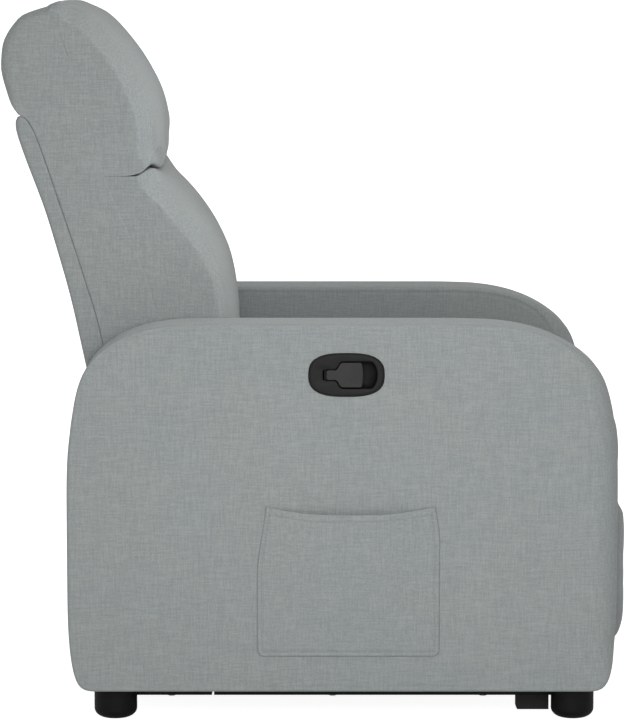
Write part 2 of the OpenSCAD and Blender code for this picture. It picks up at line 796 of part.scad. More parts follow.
// Side view of the steel strap from the hinge up the outside of a post
module bracket_outline(grow = 0) {
    knee = hinge + [-16, 60];
    tip = hinge + [post_foot + post_t / 2, 0] + bracket_reach * direction(90 + post_lean);
    bar(hinge, knee, bracket_w + 2 * grow);
    bar(knee, tip, bracket_w - 4 + 2 * grow);
}

module back_core() {
    color([0.57, 0.59, 0.58]) difference() {
        across(-back_half_w, back_half_w) polygon(concat(
            [back_point(-58, 0), back_point(-52, 0.06), back_point(-30, 0.125)],
            stretch(back_line(front_seam), 0, 0.99, -fit_gap),
            reversed(back_line(head_rear)),
            reversed(stretch(back_line(rear_seam), 0, 0.762))));
        back_posts(fit_gap);
        back_rails(fit_gap);
        back_straps(fit_gap);
        for (side = [RIGHT, LEFT]) on_side(side)
            across(post_out - fit_gap, back_bracket_y + plate_t + fit_gap) bracket_outline(fit_gap);
    }
}

module back_panel() {
    color([0.55, 0.57, 0.56]) across(-back_half_w, back_half_w) polygon(concat(
        stretch(back_line(rear_seam), -1, 0.745, -fit_gap),
        reversed(back_line(rear_face))));
}

module lumbar_cushion() {
    color([0.58, 0.60, 0.59]) across(-back_half_w, back_half_w) polygon(concat(
        stretch(back_line(front_seam), 0, 0.625),
        back_line(lumbar_front)));
}

module head_pillow() {
    color([0.58, 0.60, 0.59]) across(-back_half_w, back_half_w) polygon(concat(
        back_line(head_front),
        stretch(back_line(front_seam), 0.645, 0.99)));
}

module back_bracket(side) {
    color([0.35, 0.36, 0.38]) on_side(side) across(back_bracket_y, back_bracket_y + plate_t) difference() {
        bracket_outline();
        translate(hinge) circle(rivet_r + slip);
    }
}

arm_cover(RIGHT);  // arm_cover_right
arm_cover(LEFT);  // arm_cover_left
arm_frame(RIGHT);  // arm_frame_right
arm_frame(LEFT);  // arm_frame_left
side_pocket();
handle_bezel();
handle_pin();
release_paddle();
release_cable();
foot(0, RIGHT);  // foot_front_right
foot(0, LEFT);  // foot_front_left
foot(1, RIGHT);  // foot_rear_right
foot(1, LEFT);  // foot_rear_left
base_bolts();
rear_rail();
rear_skirt();
base_rail(RIGHT);  // base_rail_right
base_rail(LEFT);  // base_rail_left
cross_tube(cross_front_x);  // cross_tube_front
cross_tube(rail_rear);  // cross_tube_rear
floor_block(RIGHT);  // floor_block_right
floor_block(LEFT);  // floor_block_left
glide_track(RIGHT);  // glide_track_right
glide_track(LEFT);  // glide_track_left
track_bolts();
mechanism_plate(RIGHT);  // mechanism_plate_right
mechanism_plate(LEFT);  // mechanism_plate_left
plate_rivets();
track_glides();
seat_frame();
seat_springs();
seat_cushion();
seat_packers();
closing_springs();
drive_link(RIGHT);  // drive_link_right
drive_link(LEFT);  // drive_link_left
torque_tube();
drive_rivets();
carrier_link(RIGHT);  // carrier_link_right
carrier_link(LEFT);  // carrier_link_left
carrier_rivets();
control_link(RIGHT);  // control_link_right
control_link(LEFT);  // control_link_left
control_rivets();
steady_link(RIGHT);  // steady_link_right
steady_link(LEFT);  // steady_link_left
steady_rivets();
footrest_bracket(RIGHT);  // footrest_bracket_right
footrest_bracket(LEFT);  // footrest_bracket_left
footrest_board();
footrest_cushion();
back_frame();
back_webbing();
back_core();
lumbar_cushion();
head_pillow();
back_panel();
back_bracket(RIGHT);  // back_bracket_right
back_bracket(LEFT);  // back_bracket_left
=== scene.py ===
# %% [markdown]
# # A recliner armchair, upholstered round its steel and timber frame
# The frame file holds every part of the chair as the workshop drew it, in metres, with +X to
# the front, +Z up and the floor at Z = 0. Everything soft is made here, round that frame, and
# so are the finishes. This first step loads the frame and keeps the box that it fills.

# %% Load the frame
import math

import bmesh
import bpy
from mathutils import Matrix, Vector, geometry


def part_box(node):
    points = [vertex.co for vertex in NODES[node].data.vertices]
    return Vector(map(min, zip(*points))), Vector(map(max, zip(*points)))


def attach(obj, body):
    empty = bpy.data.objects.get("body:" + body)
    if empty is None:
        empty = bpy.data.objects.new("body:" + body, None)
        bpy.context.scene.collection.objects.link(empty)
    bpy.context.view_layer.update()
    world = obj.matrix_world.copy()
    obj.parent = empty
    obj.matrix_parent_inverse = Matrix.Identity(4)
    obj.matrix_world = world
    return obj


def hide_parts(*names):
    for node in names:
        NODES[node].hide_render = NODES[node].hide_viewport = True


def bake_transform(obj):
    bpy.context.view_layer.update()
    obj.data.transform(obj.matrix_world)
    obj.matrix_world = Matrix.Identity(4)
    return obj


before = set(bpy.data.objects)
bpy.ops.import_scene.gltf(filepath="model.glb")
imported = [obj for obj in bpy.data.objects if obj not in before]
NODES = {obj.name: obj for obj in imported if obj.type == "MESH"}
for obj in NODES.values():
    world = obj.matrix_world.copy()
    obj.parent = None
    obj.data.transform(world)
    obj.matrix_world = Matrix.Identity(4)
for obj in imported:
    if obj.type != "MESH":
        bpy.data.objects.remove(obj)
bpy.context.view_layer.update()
scene = bpy.context.scene
MM = 0.001

# %% [markdown]
# ## Camera
# The chair is seen square from the sitter's right, from far off and a little above, as in a
# shop's side view. A long lens keeps the near and the far arm almost the same size. The camera
# looks along +Y and is tipped down a few degrees, so the inside of the far arm shows over the
# near one.

# %% Camera
CAMERA_DIP = 6.475
camera_data = bpy.data.cameras.new("side_view_camera")
camera_data.lens = 163
camera_data.sensor_width = 36
camera = bpy.data.objects.new("side_view_camera", camera_data)
camera.location = (-0.010, -4.95, 1.0485)
camera.rotation_euler = (math.radians(90 - CAMERA_DIP), 0, 0)
scene.collection.objects.link(camera)
scene.camera = camera
scene.view_settings.view_transform = "Standard"
print("camera dips by", CAMERA_DIP, "degrees")

# %% [markdown]
# ## Light
# A pale studio: a white world does most of the work, so that a fabric shows in the colour it was
# dyed. It grows a little dimmer towards the front, which draws the fronts of the arms, and the
# camera sees it as plain white. A soft panel hangs high over the seat, a smaller one stands by
# the near arm, and a narrow one lights the cushions of the backrest.

# %% World and lamps
REAR_LIGHT, FRONT_LIGHT = 0.57, 0.30
world = bpy.data.worlds.new("studio_world")
scene.world = world
world.use_nodes = True
sky = world.node_tree.nodes
toward, parts, dimmer, seen_sky, rays, choose = (sky.new("ShaderNode" + kind) for kind in (
    "TexCoord", "SeparateXYZ", "MapRange", "Background", "LightPath", "MixShader"))
for background in (sky["Background"], seen_sky):
    background.inputs["Color"].default_value = (1, 1, 1, 1)
dimmer.inputs["To Min"].default_value = REAR_LIGHT
dimmer.inputs["To Max"].default_value = FRONT_LIGHT
for source, target in (
        (toward.outputs["Generated"], parts.inputs[0]),
        (parts.outputs["X"], dimmer.inputs["Value"]),
        (dimmer.outputs["Result"], sky["Background"].inputs["Strength"]),
        (rays.outputs["Is Camera Ray"], choose.inputs[0]),
        (sky["Background"].outputs[0], choose.inputs[1]),
        (seen_sky.outputs[0], choose.inputs[2]),
        (choose.outputs[0], sky["World Output"].inputs["Surface"])):
    world.node_tree.links.new(source, target)


def softbox(name, place, aim, size, power, spread=180):
    """A square lamp of that size in metres, turned towards aim. A grid narrows its spread."""
    lamp = bpy.data.lights.new(name, "AREA")
    lamp.shape = "SQUARE"
    lamp.size = size
    lamp.energy = power
    lamp.spread = math.radians(spread)
    holder = bpy.data.objects.new(name, lamp)
    holder.location = place
    holder.rotation_mode = "QUATERNION"
    holder.rotation_quaternion = (Vector(aim) - Vector(place)).to_track_quat("-Z", "Y")
    holder.visible_camera = False
    scene.collection.objects.link(holder)


softbox("high_front_softbox", (1.2, 0.0, 2.2), (-0.2, 0, 0.75), 1.2, 5)
softbox("near_side_softbox", (0.1, -1.9, 0.9), (0.05, -0.3, 0.45), 0.8, 14)
softbox("backrest_softbox", (0.9, -0.25, 1.15), (-0.2, -0.2, 0.82), 0.35, 0.6, 56)
print("light from the rear:", REAR_LIGHT, "and from the front:", FRONT_LIGHT)

# %% [markdown]
# ## Colours and materials
# Cloth, plastic and steel all start from Blender's Principled shader. A small helper adds nodes
# to it. Colours are written as a paint chart gives them, from 0 to 255, and are turned into the
# linear light that the shader wants. Every pattern is noise on Object coordinates, so it needs
# no unwrapping and has no seam.

# %% Material helpers
def shade(red, green, blue):
    """A colour chart's red, green and blue as linear light."""
    return tuple(c / 12.92 if c <= 0.04045 else ((c + 0.055) / 1.055) ** 2.4
                 for c in (red / 255, green / 255, blue / 255))


class Finish:
    """A Principled material, and short ways to add nodes to it."""

    def __init__(self, name, colour, roughness, metallic=0.0):
        self.material = bpy.data.materials.new(name)
        self.material.use_nodes = True
        self.tree = self.material.node_tree
        self.shader = self.tree.nodes["Principled BSDF"]
        self.coat(Base_Color=(*colour, 1), Roughness=roughness, Metallic=metallic)

    def put(self, socket, value):
        """Sets a socket to a value, or wires another node's socket to it."""
        if isinstance(value, bpy.types.NodeSocket):
            self.tree.links.new(value, socket)
        else:
            socket.default_value = value

    def fill(self, made, **sockets):
        """Puts something on each of a node's named inputs, and returns the node."""
        for key, value in sockets.items():
            self.put(made.inputs[key.replace("_", " ")], value)
        return made

    def coat(self, **sockets):
        self.fill(self.shader, **sockets)

    def node(self, kind, **settings):
        made = self.tree.nodes.new("ShaderNode" + kind)
        for key, value in settings.items():
            setattr(made, key, value)
        return made

    def noise(self, scale, detail=2.0, rough=0.5):
        """Noise with one scale for all axes, or one for each."""
        made = self.node("TexNoise")
        spot = self.node("TexCoord").outputs["Object"]
        scale = scale if isinstance(scale, (list, tuple)) else (scale,) * 3
        place = self.fill(self.node("Mapping"), Vector=spot, Scale=scale).outputs["Vector"]
        self.fill(made, Vector=place, Scale=1.0, Detail=detail, Roughness=rough)
        return made.outputs["Fac"]

    def math(self, operation, *values):
        made = self.node("Math", operation=operation)
        for socket, value in zip(made.inputs, values):
            self.put(socket, value)
        return made.outputs[0]

    def remap(self, value, low, high, to_low=0.0, to_high=1.0):
        made = self.fill(self.node("MapRange"), Value=value, From_Min=low, From_Max=high,
                         To_Min=to_low, To_Max=to_high)
        return made.outputs["Result"]

    def blend(self, share, first, second, way="MIX"):
        """Mixes two colours by a share from 0 to 1."""
        made = self.node("Mix", data_type="RGBA", blend_type=way)
        for socket, value in ((0, share), (6, first), (7, second)):
            self.put(made.inputs[socket], (*value, 1) if isinstance(value, tuple) else value)
        return made.outputs[2]

    def bump(self, height, depth, strength):
        made = self.fill(self.node("Bump"), Height=height, Distance=depth, Strength=strength)
        self.coat(Normal=made.outputs["Normal"])


# %% [markdown]
# ### Linen-look upholstery weave
# The cover is a plain weave of uneven yarns. Thick and thin places in the warp and the weft show
# as short fine dashes, some level and some upright, that cross like a hatching. Three noises,
# each stretched along one axis, give the dashes on every side of the chair and round its
# corners. The same dashes raise the surface a little, and a slow noise lets the cloth look a
# touch cooler or warmer from place to place.

# %% Woven cover
FIBRE = 0.6 * MM
COOLER = (0.955, 0.965, 0.985)


def woven(name, dark, light, yarn=2.1, dash=23, relief=0.35):
    """Cloth from its yarn's thickness, the length of its dashes and its relief, in millimetres."""
    cloth = Finish(name, light, 0.92)
    along = []
    for axis in range(3):
        scale = [1 / (yarn * MM)] * 3
        scale[axis] = 1 / (dash * MM)
        along.append(cloth.noise(scale, 2.0, 0.62))
    dashes = cloth.math("ADD", cloth.math("ADD", along[0], along[1]), along[2])
    tone = cloth.blend(cloth.remap(dashes, 1.22, 1.78), dark, light)
    cloud = cloth.remap(cloth.noise(7, 3.0), 0.36, 0.64)
    tone = cloth.blend(cloth.math("MULTIPLY", cloud, 0.55), tone,
                       cloth.blend(1.0, tone, COOLER, "MULTIPLY"))
    cloth.coat(Base_Color=tone, Sheen_Weight=0.16, Sheen_Roughness=0.45, Specular_IOR_Level=0.22)
    fine = cloth.noise(1 / FIBRE, 1.0)
    cloth.bump(cloth.math("ADD", dashes, cloth.math("MULTIPLY", fine, 0.5)), relief * MM, 0.75)
    return cloth.material


COVER = woven("linen_look_cover", shade(139, 144, 144), shade(155, 160, 158))
THREAD = woven("sewing_thread", shade(120, 125, 125), shade(150, 155, 154), 0.5, 2)
LINING = woven("dark_lining", shade(50, 52, 54), shade(66, 68, 70), 1.2, 6, 0.2)
WEBBING = woven("seat_webbing", shade(26, 26, 27), shade(44, 43, 42), 2.4, 9)
print("cloths:", COVER.name, THREAD.name, LINING.name, WEBBING.name)

# %% [markdown]
# ### Moulded black plastic
# The handle and the feet are injection moulded: an even fine grain in the surface, a soft broad
# shine, and a few paler scuffs and some dust where hands and brooms touch them. The grain is
# bump at half a millimetre and the dust is a slow noise in the colour and the roughness.

# %% Plastics
GRAIN, GRAIN_DEPTH = 0.5 * MM, 0.05 * MM


def moulded(name, colour, scuffed, roughness, shine=0.42):
    plastic = Finish(name, colour, roughness)
    dust = plastic.remap(plastic.noise((38, 38, 60), 4.0, 0.6), 0.52, 0.72)
    plastic.coat(
        Base_Color=plastic.blend(plastic.math("MULTIPLY", dust, 0.5), colour, scuffed),
        Roughness=plastic.remap(dust, 0, 1, roughness, roughness + 0.16), Specular_IOR_Level=shine)
    plastic.bump(plastic.noise(1 / GRAIN), GRAIN_DEPTH, 0.6)
    return plastic.material


BEZEL_PLASTIC = moulded("moulded_black_bezel", shade(21, 21, 21), shade(36, 36, 36), 0.60, 0.26)
PADDLE_PLASTIC = moulded("moulded_black_paddle", shade(26, 26, 26), shade(44, 44, 44), 0.50, 0.38)
FOOT_PLASTIC = moulded("moulded_black_foot", shade(8, 8, 9), shade(24, 24, 23), 0.50, 0.2)
BLOCK_PLASTIC = moulded("charcoal_floor_block", shade(50, 50, 51), shade(66, 65, 64), 0.56, 0.38)
CABLE_PLASTIC = moulded("cable_sleeve", shade(28, 28, 28), shade(40, 40, 40), 0.45)
NYLON = moulded("natural_nylon", shade(222, 219, 208), shade(198, 192, 176), 0.38)
print("plastics:", len([m for m in bpy.data.materials if "moulded" in m.name]), "moulded in black")

# %% [markdown]
# ### Steel and timber
# The base rails are powder coated, which leaves a faint orange-peel skin. Links and plates are
# zinc plated: a dull bright metal with a mottled spangle and drawn-out marks of the press. The
# frame's wood is pine, with rings stretched along the grain.

# %% Metals and wood
def powder_coated(name, colour, worn_to):
    paint = Finish(name, colour, 0.46)
    peel = paint.noise(420, 1.0)
    worn = paint.remap(paint.noise(30, 5.0, 0.65), 0.55, 0.75)
    paint.coat(Base_Color=paint.blend(paint.math("MULTIPLY", worn, 0.3), colour, worn_to),
               Specular_IOR_Level=0.25)
    paint.bump(peel, 0.08 * MM, 0.5)
    return paint.material


def plated(name, dull, bright, roughness):
    metal = Finish(name, bright, roughness, 1.0)
    spangle = metal.remap(metal.noise(120, 3.0, 0.6), 0.35, 0.65)
    metal.coat(Base_Color=metal.blend(spangle, dull, bright),
               Roughness=metal.remap(spangle, 0, 1, roughness + 0.12, roughness))
    metal.bump(metal.noise((60, 900, 900)), 0.03 * MM, 0.5)
    return metal.material


def wooden(name, dark, light):
    wood = Finish(name, light, 0.72)
    rings = wood.noise((5, 140, 140), 4.0, 0.6)
    board = wood.math("MULTIPLY", wood.noise(9), 0.4)
    share = wood.remap(wood.math("ADD", rings, board), 0.45, 0.95)
    wood.coat(Base_Color=wood.blend(share, dark, light))
    wood.bump(rings, 0.15 * MM, 0.5)
    return wood.material


RAIL_PAINT = powder_coated("black_powder_coat", shade(12, 12, 13), shade(50, 50, 49))
ZINC = plated("zinc_plated_steel", shade(140, 142, 146), shade(182, 184, 188), 0.34)
BRIGHT = plated("polished_rivet", shade(170, 171, 174), shade(206, 207, 209), 0.24)
SPRING_WIRE = plated("oiled_spring_wire", shade(86, 88, 92), shade(128, 130, 134), 0.30)
PINE = wooden("pine_rail", shade(176, 140, 96), shade(222, 190, 146))
print("materials:", len(bpy.data.materials))

# %% [markdown]
# ### Floor
# A plain white floor. It is a wide flat sheet and isn't part of the chair. It still takes the
# chair's shadow: its own shading is topped up with a little light that only camera rays see,
# from an Emission shader that a Light Path node switches on.

# %% Floor
FLOOR_REACH = 400
FLOOR_GLOW = 0.92
floor_mesh = bmesh.new()
bmesh.ops.create_grid(floor_mesh, x_segments=1, y_segments=1, size=FLOOR_REACH)
floor_data = bpy.data.meshes.new("studio_floor")
floor_mesh.to_mesh(floor_data)
floor_mesh.free()
floor = bpy.data.objects.new("studio_floor", floor_data)
scene.collection.objects.link(floor)
white = Finish("white_floor", (0.80, 0.80, 0.80), 0.9)
white.coat(Specular_IOR_Level=0.0)
glow = white.node("Emission")
seen = white.node("LightPath").outputs["Is Camera Ray"]
white.put(glow.inputs["Strength"], white.math("MULTIPLY", seen, FLOOR_GLOW))
both = white.node("AddShader")
white.put(both.inputs[0], white.shader.outputs[0])
white.put(both.inputs[1], glow.outputs[0])
white.put(white.tree.nodes["Material Output"].inputs["Surface"], both.outputs[0])
floor_data.materials.append(white.material)
print("floor glow:", FLOOR_GLOW)

# %% [markdown]
# ## Finishing the steel, the timber and the plastic
# These parts keep the shape that the workshop drew, and only get their finish. Each material
# goes with words that its parts have in their names. What is left over is upholstered.

# %% Finishes of the hard parts
FINISHES = [
    (PINE, "_frame packers rear_rail"),
    (LINING, "footrest_board"),
    (WEBBING, "webbing"),
    (RAIL_PAINT, "base_rail cross_tube handle_pin"),
    (BLOCK_PLASTIC, "floor_block"),
    (FOOT_PLASTIC, "foot_front foot_rear"),
    (ZINC, "glide_track mechanism_plate torque_tube _link bracket"),
    (BRIGHT, "rivets bolts"),
    (SPRING_WIRE, "springs"),
    (NYLON, "glides"),
    (CABLE_PLASTIC, "cable"),
    (BEZEL_PLASTIC, "bezel"),
    (PADDLE_PLASTIC, "paddle"),
    (COVER, "arm_cover pocket skirt cushion core pillow back_panel"),
]
for material, words in FINISHES:
    for name, node in NODES.items():
        if any(word in name for word in words.split()):
            node.data.materials.clear()
            node.data.materials.append(material)
print("parts still bare:", [name for name, node in NODES.items() if not node.data.materials])

# %% [markdown]
# ## Reading a side view from the frame
# The soft parts have to sit exactly where the frame has them. Each was drawn as a side view and
# pulled across the chair, so the flat face on one side holds its outline. This helper finds
# that face and walks round its border. The others place even steps along a line, and part an
# outline in two.

# %% Outlines
def side_loops(node, level=None):
    """Borders of the node's flat side, as (x, z) points, longest first. Its level is a Y."""
    work = bmesh.new()
    work.from_mesh(NODES[node].data)
    bmesh.ops.remove_doubles(work, verts=work.verts, dist=0.01 * MM)
    work.verts.index_update()
    if level is None:
        level = min(v.co.y for v in work.verts)
    cap = {f.index for f in work.faces if all(abs(v.co.y - level) < 0.05 * MM for v in f.verts)}
    links = {}
    for edge in work.edges:
        if sum(f.index in cap for f in edge.link_faces) == 1:
            a, b = (v.index for v in edge.verts)
            links.setdefault(a, []).append(b)
            links.setdefault(b, []).append(a)
    work.verts.ensure_lookup_table()
    loops = []
    while links:
        here = min(links)
        loop = []
        while links.get(here):
            step = links[here].pop()
            links[step].remove(here)
            here = step
            loop.append(work.verts[here].co.xz)
        links = {k: v for k, v in links.items() if v}
        loops.append(loop)
    work.free()
    return sorted(loops, key=lambda loop: -measure(loop)[-1])


def measure(line):
    """Distance along a line of points, up to each of them."""
    reach = [0.0]
    for a, b in zip(line, line[1:]):
        reach.append(reach[-1] + (b - a).length)
    return reach


def even(line, count):
    """count + 1 points at even steps along a line."""
    reach = measure(line)
    made, k = [], 0
    for i in range(count + 1):
        want = reach[-1] * i / count
        while k < len(line) - 2 and reach[k + 1] < want:
            k += 1
        t = (want - reach[k]) / max(reach[k + 1] - reach[k], 1e-9)
        made.append(line[k].lerp(line[k + 1], t))
    return made


def even_loop(loop, count):
    return even(loop + loop[:1], count)[:-1]


def split(loop, first, last):
    """The two ways round a closed loop from one of its points to another."""
    loop = loop[first:] + loop[:first]
    cut = (last - first) % len(loop)
    return loop[:cut + 1], [loop[0]] + loop[:cut - 1:-1]


def extreme(loop, weigh):
    return max(range(len(loop)), key=lambda i: weigh(loop[i]))


def front_and_rear(loop, first, last, facing=lambda p: p.x):
    """A loop's two lines between where first and last weigh most: the facing one comes first."""
    lines = split(loop, extreme(loop, first), extreme(loop, last))
    return sorted(lines, key=lambda line: -sum(map(facing, line)) / len(line))


print("lumbar cushion outline:", len(side_loops("lumbar_cushion")[0]), "points")

# %% [markdown]
# ## One way to make every padded piece
# A cushion here is a run of cross-sections, which go right across the chair. Their edges are
# quarter ellipses, whose reach across the chair and depth can differ, and the front has a crown,
# so the middle stands proud of the sides.

# %% Edges
class Edge:
    """A rounded long edge, in millimetres: its reach across the chair, its depth, and the crown.

    With a turn of 90 degrees it runs smoothly into the side, and with less it meets it in a corner.
    """

    def __init__(self, reach, depth, crown=0.0, steps=7, turn=90):
        self.sizes, self.steps, self.turn = (reach, depth, crown), steps, turn

    def scaled(self, share):
        reach, depth, crown = (size * share for size in self.sizes)
        return Edge(max(reach, 0.4), max(depth, 0.2), crown, self.steps, self.turn)

    def path(self, half, middle):
        """(y, depth) pairs from -half to half, with so many steps in the middle."""
        reach, depth, crown = (size * MM for size in self.sizes)
        most = math.radians(self.turn)
        side = [(half - reach * (1 - math.sin(a) / math.sin(most)),
                 depth * (1 - math.cos(a)) / (1 - math.cos(most)))
                for a in (most * (1 - i / self.steps) for i in range(self.steps))]
        flat = [((half - reach) * (2 * i / middle - 1), 0.0) for i in range(middle + 1)]
        pairs = [(-y, d) for y, d in side] + flat + side[::-1]
        return [(y, d + crown * (y / half) ** 2) for y, d in pairs]


FLUSH = Edge(0.6, 0.3, steps=2)
print("a flush edge in", len(FLUSH.path(1, 4)), "points")

# %% [markdown]
# bmesh makes a plain grid first, and each point of the grid is then moved to its place, as a
# cover is pulled over its foam. Each section joins a point on a front line to one on a rear line:
# over the front, round one edge, along the side, back behind, and up the other side.

# %% Padded form
def draped_grid(columns, rows, place, merge=0.0):
    """A grid of columns by rows faces, whose corner i, j goes to place(i, j)."""
    work = bmesh.new()
    bmesh.ops.create_grid(work, x_segments=columns, y_segments=rows, size=1)
    for v in work.verts:
        v.co = place(round((v.co.x + 1) / 2 * columns), round((v.co.y + 1) / 2 * rows))
    if merge:
        bmesh.ops.remove_doubles(work, verts=work.verts, dist=merge)
    return work


def closed(work):
    """Fills the open ends of a mesh and turns its faces outwards."""
    bmesh.ops.holes_fill(work, edges=[e for e in work.edges if e.is_boundary], sides=0)
    bmesh.ops.recalc_face_normals(work, faces=work.faces)
    return work


# Where the side's own points lie, and how much of a thin section its edges may take up.
SIDE_SHARES = (0.045, 0.3, 0.65, 0.955)
MOST_DEPTH = 0.9


def padded_form(front, rear, half, front_edge, rear_edge, middle=24):
    """A closed bmesh through sections from rear[i] to front[i]. Edges are Edge or lists of them."""
    count = len(front) - 1
    fronts, rears = (edge if isinstance(edge, list) else [edge] * (count + 1)
                     for edge in (front_edge, rear_edge))
    rings = []
    for a, b, edge, back_edge in zip(front, rear, fronts, rears):
        thick = (a - b).length
        inward = (b - a) / thick if thick > 1e-6 else Vector((0, 0))
        deep = sum(edge.sizes[1:] + back_edge.sizes[1:]) * MM
        fit = min(1.0, MOST_DEPTH * thick / max(deep, 1e-9))
        over = [(a + inward * d * fit, y) for y, d in edge.path(half, middle)]
        under = [(b - inward * d * fit, y) for y, d in back_edge.path(half, middle)][::-1]
        ring = []
        for start, end, run in ((over[-1], under[0], over), (under[-1], over[0], under)):
            ring += run + [(start[0].lerp(end[0], share), start[1]) for share in SIDE_SHARES]
        rings.append(ring)
    around = len(rings[0])

    def place(i, j):
        spot, y = rings[i][j % around]
        return spot.x, y, spot.y

    work = draped_grid(count, around, place, 0.02 * MM)
    bmesh.ops.dissolve_degenerate(work, dist=0.01 * MM, edges=work.edges)
    return closed(work)


# %% [markdown]
# Each mesh then becomes an object of its own, with a finish and the body that it moves with. A
# padded one also hides the part of the frame that it takes the place of.

# %% New pieces
def new_piece(name, mesh, material, body):
    """Turns a bmesh into a finished object that rides on a body."""
    for face in mesh.faces:
        face.smooth = True
    data = bpy.data.meshes.new(name)
    mesh.to_mesh(data)
    mesh.free()
    piece = bpy.data.objects.new(name, data)
    data.materials.append(material)
    scene.collection.objects.link(piece)
    if body:
        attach(piece, body)
    print(name, len(data.polygons), "faces")
    return piece


def upholsters(node):
    """Hides the frame's node that a padded piece takes the place of."""
    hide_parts(node)


# %% [markdown]
# ## Filling the cushions
# Foam pushes its cover out until the cloth is tight, and the cover is held where it is sewn. The
# same happens here: Blender's Cloth blows each piece up with a light pressure, held points stay
# where they are, and no point may travel further than the foam would let it. The settled shape
# is then written into the mesh, and no Cloth is left on it.

# %% Filling
FILLING_FRAMES = 16
COVER_CLOTH = dict(quality=5, mass=0.25, tension_stiffness=12, compression_stiffness=12,
                   shear_stiffness=6, bending_stiffness=0.6, use_pressure=True,
                   shrink_min=-0.004, vertex_group_mass="held")


def fill_out(piece, held, pressure, limit):
    """Blows a piece up. held(point) is 1 where it is sewn down and 0 where it is free."""
    rest = [v.co.copy() for v in piece.data.vertices]
    hold = [min(1.0, max(0.0, held(p))) for p in rest]
    group = piece.vertex_groups.new(name="held")
    for i, h in enumerate(hold):
        group.add([i], h, "REPLACE")
    cloth = piece.modifiers.new("Cloth", "CLOTH")
    for key, value in COVER_CLOTH.items():
        setattr(cloth.settings, key, value)
    cloth.settings.uniform_pressure_force = pressure
    cloth.settings.effector_weights.gravity = 0
    cloth.point_cache.frame_start, cloth.point_cache.frame_end = 1, FILLING_FRAMES
    for number in range(1, FILLING_FRAMES + 1):
        scene.frame_set(number)
    filled = piece.evaluated_get(bpy.context.evaluated_depsgraph_get()).data
    settled = [v.co.copy() for v in filled.vertices]
    piece.modifiers.remove(cloth)
    piece.vertex_groups.remove(group)
    furthest = 0.0
    for vertex, start, end, h in zip(piece.data.vertices, rest, settled, hold):
        step = end - start
        most = limit * (1 - h)
        if step.length > most:
            step *= most / step.length
        furthest = max(furthest, step.length)
        vertex.co = start + step
    piece.data.update()
    scene.frame_set(1)
    print(piece.name, "filled by up to", round(furthest / MM, 1), "mm")


def relax(piece, within):
    """Evens a part of a mesh out, as a cover does when it is pulled straight."""
    work = bmesh.new()
    work.from_mesh(piece.data)
    chosen = [v for v in work.verts if within(v.co)]
    for _ in range(2):
        bmesh.ops.smooth_vert(work, verts=chosen, factor=0.4,
                              use_axis_x=True, use_axis_y=True, use_axis_z=True)
    work.to_mesh(piece.data)
    work.free()


def keep_corners(piece, degrees):
    """Creases corners sharper than that, so that subdivision leaves the sewn lines crisp."""
    work = bmesh.new()
    work.from_mesh(piece.data)
    crease = work.edges.layers.float.new("crease_edge")
    for edge in work.edges:
        if len(edge.link_faces) == 2 and edge.calc_face_angle(0) > math.radians(degrees):
            edge[crease] = 1.0
    work.to_mesh(piece.data)
    work.free()


def subdivide(piece):
    finer = piece.modifiers.new("Finer", "SUBSURF")
    finer.levels = finer.render_levels = 1


# %% [markdown]
# ## Words for shapes
# Every piece is drawn in or filled out here and there. These few functions say where and how
# far, in millimetres, so that each shape further down reads like a note to the upholsterer.

# %% Shaping helpers
def smooth_step(t):
    t = min(1.0, max(0.0, t))
    return t * t * (3 - 2 * t)


def ease(distance, start, end):
    """Goes smoothly from 0 at start to 1 at end, both in millimetres, up or down."""
    return smooth_step((distance / MM - start) / (end - start))


def hump(distance, middle, width):
    """1 at middle, and less on both sides of it, in millimetres."""
    return math.exp(-((distance / MM - middle) / width) ** 2)


def fading(distance, reach):
    """1 at no distance, and evenly less down to 0 at reach millimetres."""
    return max(0.0, 1 - distance / (reach * MM))


print("halfway up a 10 mm ramp:", ease(5 * MM, 0, 10))

# %% [markdown]
# ## Backrest
# The backrest is four sewn parts. A boxed core goes round the posts and swells out behind the
# head, a flat panel closes its rear, and a lumbar cushion and a head pillow are sewn on its
# front. Their front lines roll over to the sides in a wide soft curve, but the side panels
# themselves are nearly flat and meet in narrow seams. The lines where they meet are read from
# the frame: the seam of a front cushion is the part of its outline that lies on the core's.

# %% Lines of the backrest
TOUCHING = 0.8 * MM
FACE_STEPS = 240


def meets(loop, other):
    """The part of a closed loop that lies on another loop, and the rest, both the same way."""
    def gap(point):
        best = 1.0
        for a, b in zip(other, other[1:] + other[:1]):
            along = b - a
            t = max(0.0, min(1.0, (point - a).dot(along) / max(along.length_squared, 1e-12)))
            best = min(best, (point - a - along * t).length)
        return best

    on = [gap(p) < TOUCHING for p in loop]
    runs = []
    for start in (i for i in range(len(loop)) if on[i] and not on[i - 1]):
        length = 0
        while on[(start + length) % len(loop)]:
            length += 1
        runs.append((length, start))
    length, start = max(runs)
    return split(loop, start, (start + length - 1) % len(loop))


def level_with(line, face):
    """For each point of face, the point of line at the same height, or the nearer end."""
    made = []
    for p in face:
        spot = line[0] if p.y <= line[0].y else line[-1]
        for a, b in zip(line, line[1:]):
            if a.y <= p.y < b.y:
                spot = a.lerp(b, (p.y - a.y) / (b.y - a.y))
        made.append(spot)
    return made


